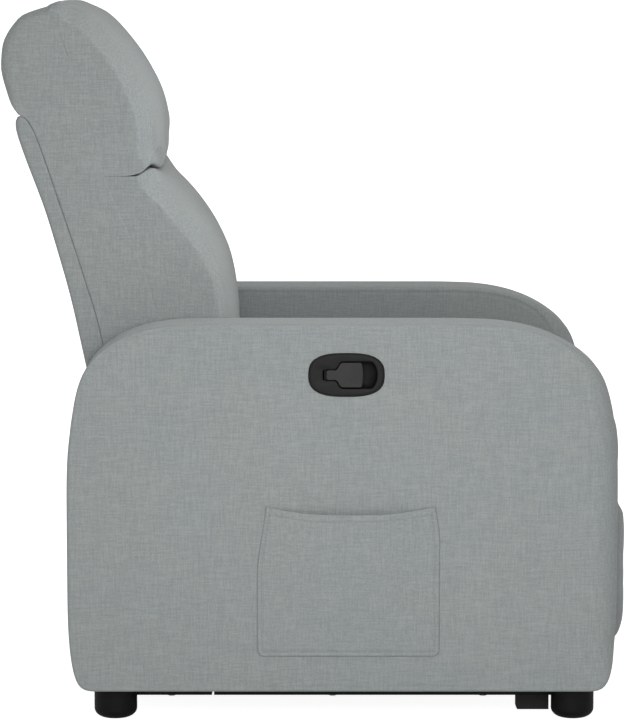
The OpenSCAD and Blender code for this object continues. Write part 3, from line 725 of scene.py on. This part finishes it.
core_loop = side_loops("back_core")[0]
half_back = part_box("back_core")[1].y
backrest_lines = {}
for name, up in (("lumbar_cushion", 1), ("head_pillow", -1)):
    seam, face = meets(side_loops(name)[0], core_loop)
    if seam[0].y > seam[-1].y:
        seam, face = seam[::-1], face[::-1]
    # The seam goes on to the cushion's rear corner, which lies a little off the core's line.
    corner = extreme(face, lambda p: up * p.y - 0.5 * p.x)
    if up == 1:
        seam, face = seam + face[corner:-1][::-1], face[:corner + 1]
    else:
        seam, face = face[1:corner + 1][::-1] + seam, face[corner:]
    backrest_lines[name] = (seam, even(face, FACE_STEPS))
    print(name, "seam", round(measure(seam)[-1] / MM), "mm, face", round(measure(face)[-1] / MM))

# %% [markdown]
# The two front cushions touch from the seam out to a line near the front, and part from there
# like two rolls. Their lines are drawn together as far as that.

# %% Where the cushions meet
HALF_GAP = 0.15 * MM
LUMBAR_LEAN = 0.22
lumbar_seam, pillow_seam = (backrest_lines[name][0] for name in ("lumbar_cushion", "head_pillow"))
meet_height = (lumbar_seam[-1].y + pillow_seam[0].y) / 2
meet_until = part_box("head_pillow")[1].x - 12 * MM
lumbar_seam[-1].y = meet_height - HALF_GAP
pillow_seam[0].y = meet_height + HALF_GAP
for name, side in (("lumbar_cushion", -1), ("head_pillow", 1)):
    for p in backrest_lines[name][1]:
        if abs(p.y - meet_height) < 16 * MM:
            p.y += (meet_height + side * HALF_GAP - p.y) * ease(p.x - meet_until, 13, 0)
        if side < 0 and p.x > meet_until:
            p.y = min(p.y, meet_height - HALF_GAP - LUMBAR_LEAN * (p.x - meet_until))
print("the cushions meet at a height of", round(meet_height / MM), "mm")

# %% [markdown]
# The core and the rear panel are stretched over board, so they stay almost flat. The core's
# edge is soft only where it swells behind the head, and tight along its seams. The cover is
# drawn in at the fold under that swelling, and bridges the narrow slot above the panel's top.

# %% Core
SECTIONS = 84
core_front, core_rear = front_and_rear(core_loop, lambda p: -p.y, lambda p: p.y)
panel_loop = side_loops("back_panel")[0]
panel_front, panel_rear = front_and_rear(panel_loop, lambda p: -p.y - p.x * 0.01, lambda p: p.y)
core_high = max(p.y for p in core_rear)
panel_top = max(p.y for p in panel_loop)
panel_left = min(p.x for p in panel_loop)
fold = extreme(core_rear, lambda p: -p.y if p.y > panel_top and p.x < panel_left + 10 * MM else -2)
fold_point = core_rear[fold]
core_rear = [p for i, p in enumerate(core_rear) if i >= fold or p.y < fold_point.y]
drawn_fold = fold_point.copy()
for p in core_rear:
    if p.y >= drawn_fold.y and p.x < drawn_fold.x + 12 * MM:
        over = p.y - drawn_fold.y
        p.x += (3 * ease(over, 115, 70) + 5.5 * ease(over, 45, 0)) * MM
        p.y += 5 * ease(over, 25, 0) * MM
rear_points, front_points = even(core_rear, SECTIONS), even(core_front, SECTIONS)


def head_share(point):
    """0 on the flat lower back, 1 where the core swells behind the head, less at the very top."""
    return (ease(point.y - fold_point.y, -1, 41)
            * (1 - 0.6 * ease(point.y - core_high, -45, -10)))


def shoulders(mesh):
    """Rounds the top of the backrest down towards its two sides, with a little wadding on top."""
    roll, drop, crest, dip = 34 * MM, 11, -377, -390
    for v in mesh.verts:
        out = min(1.0, max(0.0, (abs(v.co.y) - half_back + roll) / roll))
        wadding = 2.6 * hump(v.co.x, crest, 11) - 0.8 * hump(v.co.x, dip, 7)
        lower = drop * (1 - math.sqrt(1 - out ** 2))
        v.co.z += ease(v.co.z - core_high, -50, 0) * (wadding - lower) * MM
    return mesh


core_rear_edges = [Edge(1.9 + 16 * s, 3.8 + 12 * s, 6 * s) for s in map(head_share, rear_points)]
core = new_piece("back_side_cover", shoulders(padded_form(
    front_points, rear_points, half_back, FLUSH, core_rear_edges)), COVER, "backrest")
upholsters("back_core")

# %% [markdown]
# The rear panel's top edge is tucked up into the fold under the swelling behind the head.

# %% Rear panel
tuck_from = panel_top - 9 * MM
HAIR = Vector((-0.3 * MM, -0.2 * MM))
TUCKED_EDGE = ((-0.6, -5), (-0.4, 1.5), (1.2, 5), (4.5, 7))
climb = [p for p in core_rear if tuck_from < p.y <= fold_point.y]
panel_front_line = [p for p in panel_front if p.y < climb[0].y] + [p + HAIR for p in climb]
panel_rear_line = [p for p in panel_rear if p.y < tuck_from] + [
    Vector((panel_left + x * MM, panel_top + z * MM)) for x, z in TUCKED_EDGE]
panel_rear_line.append(fold_point + 2 * HAIR)
panel_swell = Vector((-2.5 * MM, -0.5 * MM))
panel_rear_points = [p + panel_swell * min(1.0, 6 * t * (1 - t)) for t, p in
                     ((i / SECTIONS, p) for i, p in enumerate(even(panel_rear_line, SECTIONS)))]
panel = new_piece("back_rear_panel", padded_form(
    even(panel_front_line, SECTIONS), panel_rear_points, half_back,
    Edge(1.9, 3.8, steps=4), Edge(8, 7, 2)), COVER, "backrest")
upholsters("back_panel")

# %% [markdown]
# The lumbar cushion and the head pillow are full, soft foam. Their rear lines are sewn, so they
# are held there, and their sides are pulled flat. They swell most in the middle of the front.
# Because the foam will push the cover out, the cover is cut a few millimetres smaller first.

# %% Cutting a front cushion
def fan_out(points, rears, line, height):
    """Above a height, spreads the rear ends evenly up to the end of the seam line."""
    first = next(i for i, p in enumerate(points) if p.y > height)
    tail = [rears[first]] + [q for q in line if q.y > rears[first].y]
    return rears[:first] + even(tail, len(points) - 1 - first)


def lift_corners(mesh):
    """Bends the crease between the two cushions up towards the sides."""
    lift = 15 * MM
    for v in mesh.verts:
        reach = 50 if v.co.z > meet_height else 15
        v.co.z += lift * (smooth_step(abs(v.co.y) / half_back)
                          * ease(v.co.x - meet_until, -28, 0) * hump(v.co.z - meet_height, 0, reach))
    return mesh


def drawn_in(points, rears, room):
    """Points moved towards their rear ends by room(point), but never far into a thin section."""
    return [p + (q - p).normalized() * min(room(p), 0.3 * (q - p).length)
            for p, q in zip(points, rears)]


print("the crease is lifted in front of", round((meet_until - 28 * MM) / MM), "mm")

# %% [markdown]
# Towards the crease, the edges of the sections grow narrow, so that the two cushions meet in one
# line. The seam, the crease and the sides are held while the foam fills the cover.

# %% Lumbar cushion and head pillow
def front_cushion(node, edge, room):
    """Sections stay level, and start where the cushion leaves its neighbour."""
    seam, face = backrest_lines[node]
    leg = [p for p in face if abs(p.y - meet_height) < 0.5 * MM and p.x < meet_until + 1 * MM]
    corner = max(leg, key=lambda p: p.x)
    free = [p for p in face if p not in leg]
    above = node == "head_pillow"
    points = even([corner] + free if above else free + [corner], SECTIONS)
    rears = [q - Vector((1 * MM, 0)) for q in level_with(core_front, points)]
    if above:
        rears = fan_out(points, rears, core_front, core_high - 85 * MM)
    reach = measure(points)
    edges = []
    for r in reach:
        parted = r if above else reach[-1] - r
        end = 0.3 + 0.7 * ease(reach[-1] - r, 0, 70) if above else 1 - 0.6 * ease(parted, 60, 210)
        edges.append(edge.scaled((0.4 + 0.6 * ease(parted, 0, 40)) * end))
    piece = new_piece(node + "_cover", shoulders(lift_corners(padded_form(
        drawn_in(points, rears, room), rears, half_back - 0.2 * MM, edges, FLUSH))),
        COVER, "backrest")
    keep_corners(piece, 38)
    line = even(seam, 40)

    def held(point):
        away = min((point.xz - p).length for p in line)
        sewn = 1.0 - min(1.0, max(0.0, away - 6 * MM) / (45 * MM))
        crease = ease(abs(point.z - meet_height), 28, 0)
        return max(sewn, crease, 0.9 * ease(abs(point.y) - half_back, -14, -3))

    fill_out(piece, held, 2.0, 5 * MM)
    relax(piece, lambda point: held(point) < 0.6)
    subdivide(piece)
    upholsters(node)


def lumbar_room(p):
    """More room towards the crease, where the cushion dives under the pillow."""
    below = meet_height - p.y
    return (3 + 2.5 * ease(below, 80, 10) + 3 * ease(below, 36, 6) + 3 * ease(below, 18, 2)) * MM


def head_room(p):
    """More room high up, and none where the pillow turns over to the rear."""
    turned, straight = -372, -337
    return (1.5 + 5 * ease(p.y - meet_height, 80, 180)) * MM * ease(p.x, turned, straight)


front_cushion("lumbar_cushion", Edge(42, 31, 9, 8, 56), lumbar_room)
front_cushion("head_pillow", Edge(36, 24, 8, 8, 56), head_room)

# %% [markdown]
# ## Arms
# Each arm is a boxed timber frame under a thin layer of foam, so its sides are flat and its
# outline crisp. The cover rolls over in a tight curve along the top and a broad one down the front,
# where there is more wadding. A grid is wrapped round the outline and across the arm, and its
# two rims are then filled. The right arm keeps an opening for the release handle.

# %% Outline of an arm
def hull(points):
    """The convex outline round some points, as a loop from its rearmost one."""
    points = sorted({(round(x, 5), round(z, 5)) for x, z in points})
    order = geometry.convex_hull_2d(points)
    first = order.index(0)
    return [Vector(points[k]) for k in order[first:] + order[:first]]


def with_neighbours(loop):
    return zip(loop[-1:] + loop[:-1], loop, loop[1:] + loop[:1])


def soften(loop, times):
    """Rounds off the flats of a closed loop."""
    for _ in range(times):
        loop = [(a + 2 * b + c) / 4 for a, b, c in with_neighbours(loop)]
    return loop


def tightened(p, low, high):
    """The cover cuts the two upper corners a little, and is full over the front shoulder."""
    below = high.z - p.y
    rear = 6.5 * fading(p.x - low.x, 110) * hump(below, 122, 62)
    front = fading(high.x - p.x, 110) * (6.5 * hump(below, 56, 34) - 2.5 * hump(below, 145, 50))
    return Vector((p.x + (rear + front) * MM, p.y))


# %% [markdown]
# The side panel of an arm is sewn in just past the roll: the cloth dips at the seam, and rises
# again. So each path across the arm starts with four points for that seam, runs over the roll
# and the top, and ends with the same four on the other side.

# %% Arm covers
bezel_oval, bezel_recess = side_loops("handle_bezel")[:2]
bezel_low, bezel_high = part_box("handle_bezel")
bezel_centre, bezel_half = (bezel_low + bezel_high).xz / 2, (bezel_high - bezel_low).xz / 2
AROUND = 380
ARM_HEART = Vector((0.03, 0.30))
SEAM_DIPS = ((8, 0.0), (5.5, 0.2), (3.2, 0.7), (1.4, 0.3))
OPENING = 0.92


def arm(side_name):
    node = "arm_cover_" + side_name
    low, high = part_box(node)
    outline = hull([(v.co.x, v.co.z) for v in NODES[node].data.vertices])
    outline = [tightened(p, low, high) for p in soften(even_loop(outline, AROUND), 3)]
    centre, half = (low.y + high.y) / 2, (high.y - low.y) / 2
    paths = []
    for before, p, after in with_neighbours(outline):
        near_front = fading(high.x - p.x, 150) * smooth_step(0.35 + (p.y - low.z) / 0.12)
        # How far the cover draws in from p by the time it reaches the side.
        draw = Vector((6 * fading(p.x - low.x, 80) ** 2 - 36 * near_front ** 2,
                       4 * fading(p.y - low.z, 60) ** 2 - 6 * fading(high.z - p.y, 120) ** 2)) * MM
        inward = Vector((before.y - after.y, after.x - before.x)).normalized()
        if inward.dot(ARM_HEART - p) < 0:
            inward = -inward
        swell = Vector((2.5 * MM * smooth_step(near_front * 1.4), 0))
        # A depth of one metre makes the depths along the roll shares from 0 to 1.
        roll = Edge(min(32, max(5, draw.length / MM)), 1 / MM).path(half, 6)
        seam = [(p + draw + inward * inset * MM, -half + dip * MM) for inset, dip in SEAM_DIPS]
        paths.append(seam + [(p + swell * (1 - d) + draw * d, y) for y, d in roll]
                     + [(spot, -y) for spot, y in reversed(seam)])

    def place(i, j):
        spot, y = paths[i % AROUND][j]
        return spot.x, centre + y, spot.y

    work = draped_grid(AROUND, len(paths[0]) - 1, place, 0.01 * MM)
    for sign in (-1, 1):
        plane = centre + sign * half
        rim = [e for e in work.edges if e.is_boundary
               and all(abs(v.co.y - plane) < 0.1 * MM for v in e.verts)]
        if side_name == "right" and sign == -1:
            hole = [work.verts.new((p.x, plane, p.y)) for p in
                    (bezel_centre + (q - bezel_centre) * OPENING for q in bezel_oval)]
            rim += [work.edges.new(pair) for pair in zip(hole, hole[1:] + hole[:1])]
        bmesh.ops.triangle_fill(work, edges=rim, use_beauty=True)
    bmesh.ops.recalc_face_normals(work, faces=work.faces)
    piece = new_piece("arm_upholstery_" + side_name, work, COVER, "frame")
    for face in piece.data.polygons:
        face.use_smooth = abs(face.normal.y) < 0.99999
    upholsters(node)


arm("right")
arm("left")

# %% [markdown]
# ## Seat cushion
# The seat is a deep foam block with a rounded nose. Its top is crowned and filled like the back
# cushions. The nose is cut back at the top and left fuller below it, as foam sags, and the two
# lower front corners are tucked in.

# %% Seat cushion
def block_cushion(node, body, fronts, rears, edges, held, pressure, limit):
    """A filled cushion through sections from rears to fronts, in a node's place."""
    piece = new_piece(node + "_cover", padded_form(
        fronts, rears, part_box(node)[1].y, *edges, middle=30), COVER, body)
    keep_corners(piece, 55)
    fill_out(piece, held, pressure, limit)
    upholsters(node)
    return piece


SEAT_STEPS = 100
SEAT_TUCK = Vector((-9, 0, 4)) * MM
seat_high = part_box("seat_cushion")[1]
seat_loop = side_loops("seat_cushion")[0]
seat_front, seat_rear = (even(line, SEAT_STEPS) for line in front_and_rear(
    seat_loop, lambda p: p.y - p.x, lambda p: p.x - p.y, lambda p: p.x + p.y))


def seat_held(point):
    """Held underneath and at the sides, free on top and round the nose."""
    top = ease(point.z - seat_high.z, -40, -10)
    nose = ease(point.x - seat_high.x, -50, -20)
    return 1 - max(top, nose) * ease(seat_high.y - abs(point.y), 0, 40)


def nose_room(p):
    """The nose is cut back at the top, and fuller where the foam sags."""
    below = p.y - seat_high.z
    return ease(p.x - seat_high.x, -60, -20) * (
        3.5 * ease(below, -80, -40) - 2 * hump(below, -110, 26)) * MM


seat = block_cushion(
    "seat_cushion", "seat", drawn_in(seat_front, seat_rear, nose_room), seat_rear,
    (Edge(30, 20, 8), Edge(5, 4, steps=3)), seat_held, 2.2, 6 * MM)
seat_foot = max(seat_loop, key=lambda p: p.x - p.y)
for v in seat.data.vertices:
    v.co += SEAT_TUCK * (ease(abs(v.co.y) - seat_high.y, -34, 0) * hump(v.co.z - seat_foot.y, 0, 20)
                         * ease(v.co.x - seat_foot.x, -34, 0))
subdivide(seat)

# %% [markdown]
# ## Footrest and rear board
# The footrest is a padded board that closes the front under the seat. Its full front is a
# superellipse, which is a rectangle with its corners swept round. The board between the arms at
# the rear is covered in the same cloth.

# %% Footrest and rear board
REST_SWELL = 41 * MM
REST_SAG = 4 * MM
REST_STEPS = 48
rest_low, rest_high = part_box("footrest_cushion")


def superellipse(angle, power):
    """The two coordinates of a point on the superellipse that fits a square from -1 to 1."""
    return [math.copysign(abs(c) ** (2 / power), c) for c in (math.cos(angle), math.sin(angle))]


def rest_front():
    """The footrest pad's front, from its top rear edge to its bottom one."""
    middle, half = (rest_low.z + rest_high.z) / 2, (rest_high.z - rest_low.z) / 2
    line = []
    for i in range(REST_STEPS + 1):
        a = math.pi / 2 - math.pi * i / REST_STEPS
        x, z = superellipse(a, 6.0)
        full = REST_SWELL - REST_SAG * max(0.0, -math.sin(a)) ** 1.6
        line.append(Vector((rest_low.x + full * x, middle + half * z)))
    return line


def rest_held(point):
    return ease(point.x - rest_low.x, 32, 12)


rest_rear = front_and_rear(side_loops("footrest_cushion")[0],
                           lambda p: p.y - p.x, lambda p: -p.y - p.x)[1]
footrest = block_cushion(
    "footrest_cushion", "footrest", even(rest_front(), 64), even(rest_rear, 64),
    (Edge(44, 15, 7), Edge(3, 2, steps=3)), rest_held, 1.5, 2 * MM)
subdivide(footrest)
# The board's face looks to the rear, so the line of its face is the one that lies further back.
board_lines = (even(line, 60) for line in front_and_rear(
    side_loops("rear_skirt")[0], lambda p: -p.y - p.x * 0.01, lambda p: p.y - p.x * 0.01,
    lambda p: -p.x))
rear_board = new_piece("rear_lower_board", padded_form(
    *board_lines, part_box("rear_skirt")[1].y, Edge(2, 1, steps=3), Edge(8, 6, 2)), COVER, "frame")
upholsters("rear_skirt")

# %% [markdown]
# ## Front rail of the seat
# The timber rail under the front of the seat shows as a thin line above the footrest. On the
# chair it is wrapped in the same cloth, so a thin padded strip covers its face.

# %% Covered front rail
frame_low, frame_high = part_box("seat_frame")
strip_heights = [frame_low.z + 1.5 * MM, frame_high.z - 0.2 * MM]
strip_lines = (even([Vector((frame_high.x + off * MM, z)) for z in strip_heights], 10)
               for off in (3, 0.2))
rail_strip = new_piece("seat_rail_cover", padded_form(
    *strip_lines, frame_high.y, Edge(3, 1.2, 0.3), FLUSH), COVER, "seat")
print("rail strip height:", round((strip_heights[1] - strip_heights[0]) / MM), "mm")

# %% [markdown]
# ## Sewing
# A row of stitches is one small long bead, repeated along a line. The bead has few faces, since
# there are hundreds of them, and each one lies along the line, half sunk in the cloth.

# %% Stitch rows
STITCH_PITCH = 4.6 * MM
STITCH = Vector((3.3, 0.75, 0.6)) * MM
OUTWARD = Vector((0, -1, 0))


def stitches(name, line):
    """A row of stitches along 3-D points, pressed into the cloth of the chair's right side."""
    work = bmesh.new()
    reach = measure(line)
    count, k = int(reach[-1] / STITCH_PITCH), 0
    for i in range(count):
        want = (i + 0.5) * reach[-1] / count
        while reach[k + 1] < want:
            k += 1
        along = (line[k + 1] - line[k]).normalized()
        spot = line[k] + along * (want - reach[k])
        turn = Matrix((along, along.cross(OUTWARD).normalized(), OUTWARD)).transposed().to_4x4()
        bmesh.ops.create_icosphere(work, subdivisions=1, radius=0.5, matrix=Matrix.Translation(spot)
                                   @ turn @ Matrix.Diagonal((*STITCH, 1)))
    row = new_piece(name, work, THREAD, "frame")
    print(name, count, "stitches")
    return row


# %% [markdown]
# ## Side pocket
# A flat patch of the cover is sewn on the right arm along its two sides and its bottom. Its
# seam allowance is folded under, so a narrow double rim runs round it, with the stitches just
# inside. The mouth has a folded hem. It is a little slack: it sags in the middle and stands off
# the arm, and it draws the two upper corners inward. The patch is a fine grid whose points are
# moved to that shape, and then it is given the thickness of the cloth.

# %% Shape of the pocket
pocket_low, pocket_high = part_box("side_pocket")
pocket_size = (pocket_high - pocket_low).xz
arm_side = -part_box("arm_cover_left")[1].y
RIM, HEM, CORNER, CLOTH = 7 * MM, 11 * MM, 10 * MM, 1.1 * MM
REAR_LEAN, FRONT_LEAN, MOUTH_SAG = 13 * MM, 7 * MM, 11 * MM


def pocket_plan(u, w):
    """The pocket's outline: x and z for shares u across and w up."""
    x, z = u * pocket_size.x, w * pocket_size.y
    a, b = CORNER - min(x, pocket_size.x - x), CORNER - z
    if a > 0 and b > 0:
        pull = 1 - max(a, b) / math.hypot(a, b)
        x += a * pull * (1 if u < 0.5 else -1)
        z += b * pull
    x += REAR_LEAN * (1 - u) ** 2 * smooth_step((w - 0.52) / 0.60) / smooth_step(0.8)
    x -= FRONT_LEAN * u ** 2 * smooth_step((w - 0.78) / 0.27)
    z -= MOUTH_SAG * (1 - abs(2 * u - 1) ** 2.6) * smooth_step((w - 0.35) / 0.65)
    return pocket_low.x + x, pocket_low.z + z


def pocket_rise(u, w):
    """How far the pocket's face stands off the arm."""
    x, z = u * pocket_size.x, w * pocket_size.y
    edge = min(x, pocket_size.x - x, z)
    inside, past_hem = edge - RIM, pocket_size.y - z - HEM
    rim = 2.4 * math.sqrt(min(1.0, edge / (1.8 * MM))) - 1.4 * hump(inside, 0, 1.7)
    puff = ease(inside, 0, 70) * (1.6 + 7 * smooth_step(w) * (1 - abs(2 * u - 1) ** 3))
    hem = (0.8 * ease(past_hem, 0, -1.5)
           - 1.1 * hump(past_hem, 0, 1.5) * smooth_step(edge / RIM - 0.5))
    return (rim + puff + hem) * MM


def pocket_spot(u, w, lift=0.0):
    x, z = pocket_plan(u, w)
    return Vector((x, arm_side - pocket_rise(u, w) - lift, z))


print("pocket:", [round(size / MM) for size in pocket_size], "mm")

# %% [markdown]
# The stitches go down one side, along the bottom and up the other, a rim's width in from the
# edge, and one more row holds the hem. The frame's own pocket is then hidden.

# %% Side pocket
POCKET_STEPS = (150, 124)
pocket_mesh = draped_grid(*POCKET_STEPS, lambda i, j: pocket_spot(
    i / POCKET_STEPS[0], j / POCKET_STEPS[1]))
bmesh.ops.recalc_face_normals(pocket_mesh, faces=pocket_mesh.faces)
if sum(f.normal.y for f in pocket_mesh.faces) > 0:
    bmesh.ops.reverse_faces(pocket_mesh, faces=pocket_mesh.faces)
bmesh.ops.solidify(pocket_mesh, geom=pocket_mesh.faces, thickness=CLOTH)
pocket = new_piece("side_pocket_patch", pocket_mesh, COVER, "frame")


def pocket_stitches(name, pairs):
    return stitches(name, [pocket_spot(u, w, 0.15 * MM) for u, w in pairs])


rim_u, rim_w = RIM / pocket_size.x, RIM / pocket_size.y
SIDE_STEPS, HEM_STEPS = 24, 48
shares = [i / SIDE_STEPS for i in range(SIDE_STEPS)]
down = [(rim_u, 1 - t * (1 - rim_w)) for t in shares]
level = [(rim_u + (1 - 2 * rim_u) * t, rim_w) for t in shares]
up = [(1 - u, w) for u, w in reversed(down + [(rim_u, rim_w)])]
sides = pocket_stitches("side_pocket_stitches", down + level + up)
hem = pocket_stitches("side_pocket_hem_stitches", [
    (0.02 + 0.96 * i / HEM_STEPS, 1 - HEM / pocket_size.y) for i in range(HEM_STEPS + 1)])
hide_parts("side_pocket")

# %% [markdown]
# ## Release handle
# The handle is an oval bowl let into the arm, with a small paddle that lies flush over it. Both
# are thin mouldings. A ring of points is cut where rays from one centre meet an outline, and the
# bowl is a stack of such rings from its hidden back, round the rim, and down into the recess.

# %% Rings of the handle
RAYS = 240
OVAL_POWER, OVAL_STEPS = 2.75, 360
handle_centre = bezel_centre + Vector((4 * MM, 0))


def rounded(loop, times):
    """A closed outline in steps of about a millimetre, with its corners eased as in a mould."""
    return soften(even_loop(loop, int(measure(loop + loop[:1])[-1] / MM)), times)


def ray_angle(ray):
    return -math.pi + 2 * math.pi * ray / RAYS


def radii(loop):
    """Distance from the handle's centre to an outline, along each ray."""
    polar = sorted((math.atan2(p.y - handle_centre.y, p.x - handle_centre.x),
                    (p - handle_centre).length) for p in loop)
    (first, near), (last, far) = polar[0], polar[-1]
    polar = [(last - 2 * math.pi, far)] + polar + [(first + 2 * math.pi, near)]
    found, k = [], 0
    for ray in range(RAYS):
        while polar[k + 1][0] < ray_angle(ray):
            k += 1
        (a, ra), (b, rb) = polar[k], polar[k + 1]
        found.append(ra + (rb - ra) * (ray_angle(ray) - a) / max(b - a, 1e-9))
    return found


def lathe(name, rings, material, body):
    """A closed shell through rings of (radii, y). The first and the last are capped."""
    def place(i, j):
        reach, y = rings[i]
        ray = j % RAYS
        return (handle_centre.x + reach[ray] * math.cos(ray_angle(ray)), y,
                handle_centre.y + reach[ray] * math.sin(ray_angle(ray)))

    shell = closed(draped_grid(len(rings) - 1, RAYS, place, 0.002 * MM))
    return new_piece(name, shell, material, body)


oval = radii([bezel_centre + Vector(superellipse(2 * math.pi * i / OVAL_STEPS, OVAL_POWER))
              * bezel_half for i in range(OVAL_STEPS)])
bowl = radii(rounded(bezel_recess, 12))
print("bowl reaches", round(max(bowl) / MM, 1), "mm of", round(max(oval) / MM, 1))

# %% [markdown]
# Each row below is a ring of the bowl: a share of its outline, how far in it lies, and how much
# it is let out, in millimetres. Between the hidden back and the recess comes the rim, which is a
# quarter turn from the arm's side out to the face.

# %% Handle bezel
RIM_WIDTH, RIM_ROOT, RIM_STEPS = 5.5 * MM, 0.4 * MM, 8
BACK_RINGS = ((0.5, 0, 0), (1, 0, 1.5), (1, -2, 2.5))
RECESS_RINGS = ((1, 0, 0.9), (1, 0.25, 0.25), (1, 0.9, 0), (1, 11, 0), (0.97, 15, 0),
                (0.88, 18.5, 0), (0.70, 21, 0), (0.40, 22.5, 0), (0.08, 23, 0))
face_y = bezel_low.y


def bowl_rings(level, rows):
    return [([r * share + more * MM for r in bowl], level + inset * MM) for share, inset, more in rows]


rim_rings = []
for i in range(RIM_STEPS + 1):
    a = math.pi / 2 * i / RIM_STEPS
    rim_rings.append(([r - RIM_WIDTH * (1 - math.cos(a)) for r in oval], arm_side + RIM_ROOT
                      - (arm_side - face_y + RIM_ROOT) * math.sin(a)))
bezel_rings = (bowl_rings(bezel_high.y, BACK_RINGS) + bowl_rings(arm_side, [(1, 1.4, 2.5)])
               + [([r * 0.985 for r in oval], arm_side + 1.4 * MM)] + rim_rings
               + bowl_rings(face_y, RECESS_RINGS))
bezel = lathe("handle_bowl", bezel_rings, BEZEL_PLASTIC, "frame")
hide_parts("handle_bezel")

# %% [markdown]
# The paddle is a flat plate with a finger lip behind its free edge. The
# plate is a stack of rings too, rounded over at its face. The free edge bows out a little, as the
# finger end does.

# %% Release paddle
PADDLE_PLATE = 4 * MM
PLATE_RINGS = ((-1.0, 0), (-0.4, 0.12), (-0.1, 0.45), (0, 1.1), (0, 3.5), (-0.5, 4))
paddle_low, paddle_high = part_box("release_paddle")
pin_low, pin_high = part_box("handle_pin")
plate_y = (pin_low.y + pin_high.y) / 2 - PADDLE_PLATE / 2
plate_back = plate_y + PADDLE_PLATE
paddle_middle = (paddle_low.z + paddle_high.z) / 2
paddle_half = (paddle_high.z - paddle_low.z) / 2


def eased_paddle(p):
    """Draws the pad in for a clear gap all round, and bows its free edge."""
    height = (p.y - paddle_middle) / paddle_half
    bow = ease(p.x - paddle_high.x, -9, 0) * (2.2 * (1 - height ** 2) - 0.4) * MM
    return Vector((p.x + bow, paddle_middle + (p.y - paddle_middle) * 0.94))


plate = radii([eased_paddle(p) for p in rounded(side_loops("release_paddle", plate_y)[0], 6)])
paddle = lathe("release_paddle_moulding", [
    ([r + more * MM for r in plate], plate_y + inset * MM) for more, inset in PLATE_RINGS],
    PADDLE_PLASTIC, "paddle")
lip_depth = paddle_high.y - plate_back
lip_place = (paddle_high.x - 2.2 * MM, plate_back + lip_depth / 2 - 0.2 * MM, paddle_middle)
lip_size = (2.6 * MM, lip_depth, 2 * paddle_half - 8 * MM)
lip_mesh = bmesh.new()
lip_mesh.from_mesh(paddle.data)
lip = bmesh.ops.create_cube(lip_mesh, size=1, matrix=Matrix.Translation(lip_place)
                            @ Matrix.Diagonal((*lip_size, 1)))
lip_edges = [e for e in lip_mesh.edges if all(v in lip["verts"] for v in e.verts)]
bmesh.ops.bevel(lip_mesh, geom=lip_edges, offset=1.0 * MM, offset_type="OFFSET",
                affect="EDGES", segments=3, profile=0.5, material=-1)
lip_mesh.to_mesh(paddle.data)
lip_mesh.free()
for face in paddle.data.polygons:
    face.use_smooth = abs(face.normal.y) < 0.999
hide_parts("release_paddle")
print("finger lip:", [round(size / MM, 1) for size in lip_size], "mm")

# %% [markdown]
# ## Closing springs
# A long coil on each side pulls the footrest shut. One end hooks on a pin of the seat's plate,
# and the other on the torque tube. Each coil is drawn as it lies at rest, and moves with neither.

# %% Coil springs
SPRING_RADIUS, WIRE_RADIUS, HOOK = 6.2 * MM, 1.1 * MM, 11 * MM
COILS, COIL_STEPS = 44, 10
ACROSS = Vector((0, 1, 0))
spring_low, spring_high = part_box("closing_springs")
tube_low, tube_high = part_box("torque_tube")
spring_start = Vector((spring_low.x + 3 * MM, 0, spring_high.z - 7 * MM))
tube_centre = Vector(((tube_low.x + tube_high.x) / 2, 0, (tube_low.z + tube_high.z) / 2))
pull = (tube_centre - spring_start).normalized()
spring_end = tube_centre - pull * ((tube_high.x - tube_low.x) / 2 + 1.3 * MM)
lift = pull.cross(ACROSS)
coil_length = (spring_end - spring_start).length - 2 * HOOK


def coil_spring(name, side):
    curve = bpy.data.curves.new(name, "CURVE")
    curve.dimensions = "3D"
    curve.bevel_depth = WIRE_RADIUS
    curve.bevel_resolution = 1
    curve.use_fill_caps = True
    points = [spring_start]
    for i in range(COILS * COIL_STEPS + 1):
        angle = 2 * math.pi * i / COIL_STEPS
        points.append(spring_start + pull * (HOOK + coil_length * i / (COILS * COIL_STEPS))
                      + (lift * math.cos(angle) + ACROSS * math.sin(angle)) * SPRING_RADIUS)
    points.append(spring_end)
    spline = curve.splines.new("POLY")
    spline.points.add(len(points) - 1)
    for target, p in zip(spline.points, points):
        target.co = (*(p + ACROSS * side * (spring_high.y - 18.5 * MM)), 1)
    holder = bpy.data.objects.new(name, curve)
    scene.collection.objects.link(holder)
    bpy.context.view_layer.update()
    mesh = bmesh.new()
    mesh.from_mesh(holder.evaluated_get(bpy.context.evaluated_depsgraph_get()).to_mesh())
    bpy.data.objects.remove(holder)
    spring = new_piece(name, mesh, SPRING_WIRE, None)
    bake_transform(spring)
    return spring


right_spring = coil_spring("closing_spring_right", -1)
coil_spring("closing_spring_left", 1)
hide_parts("closing_springs")
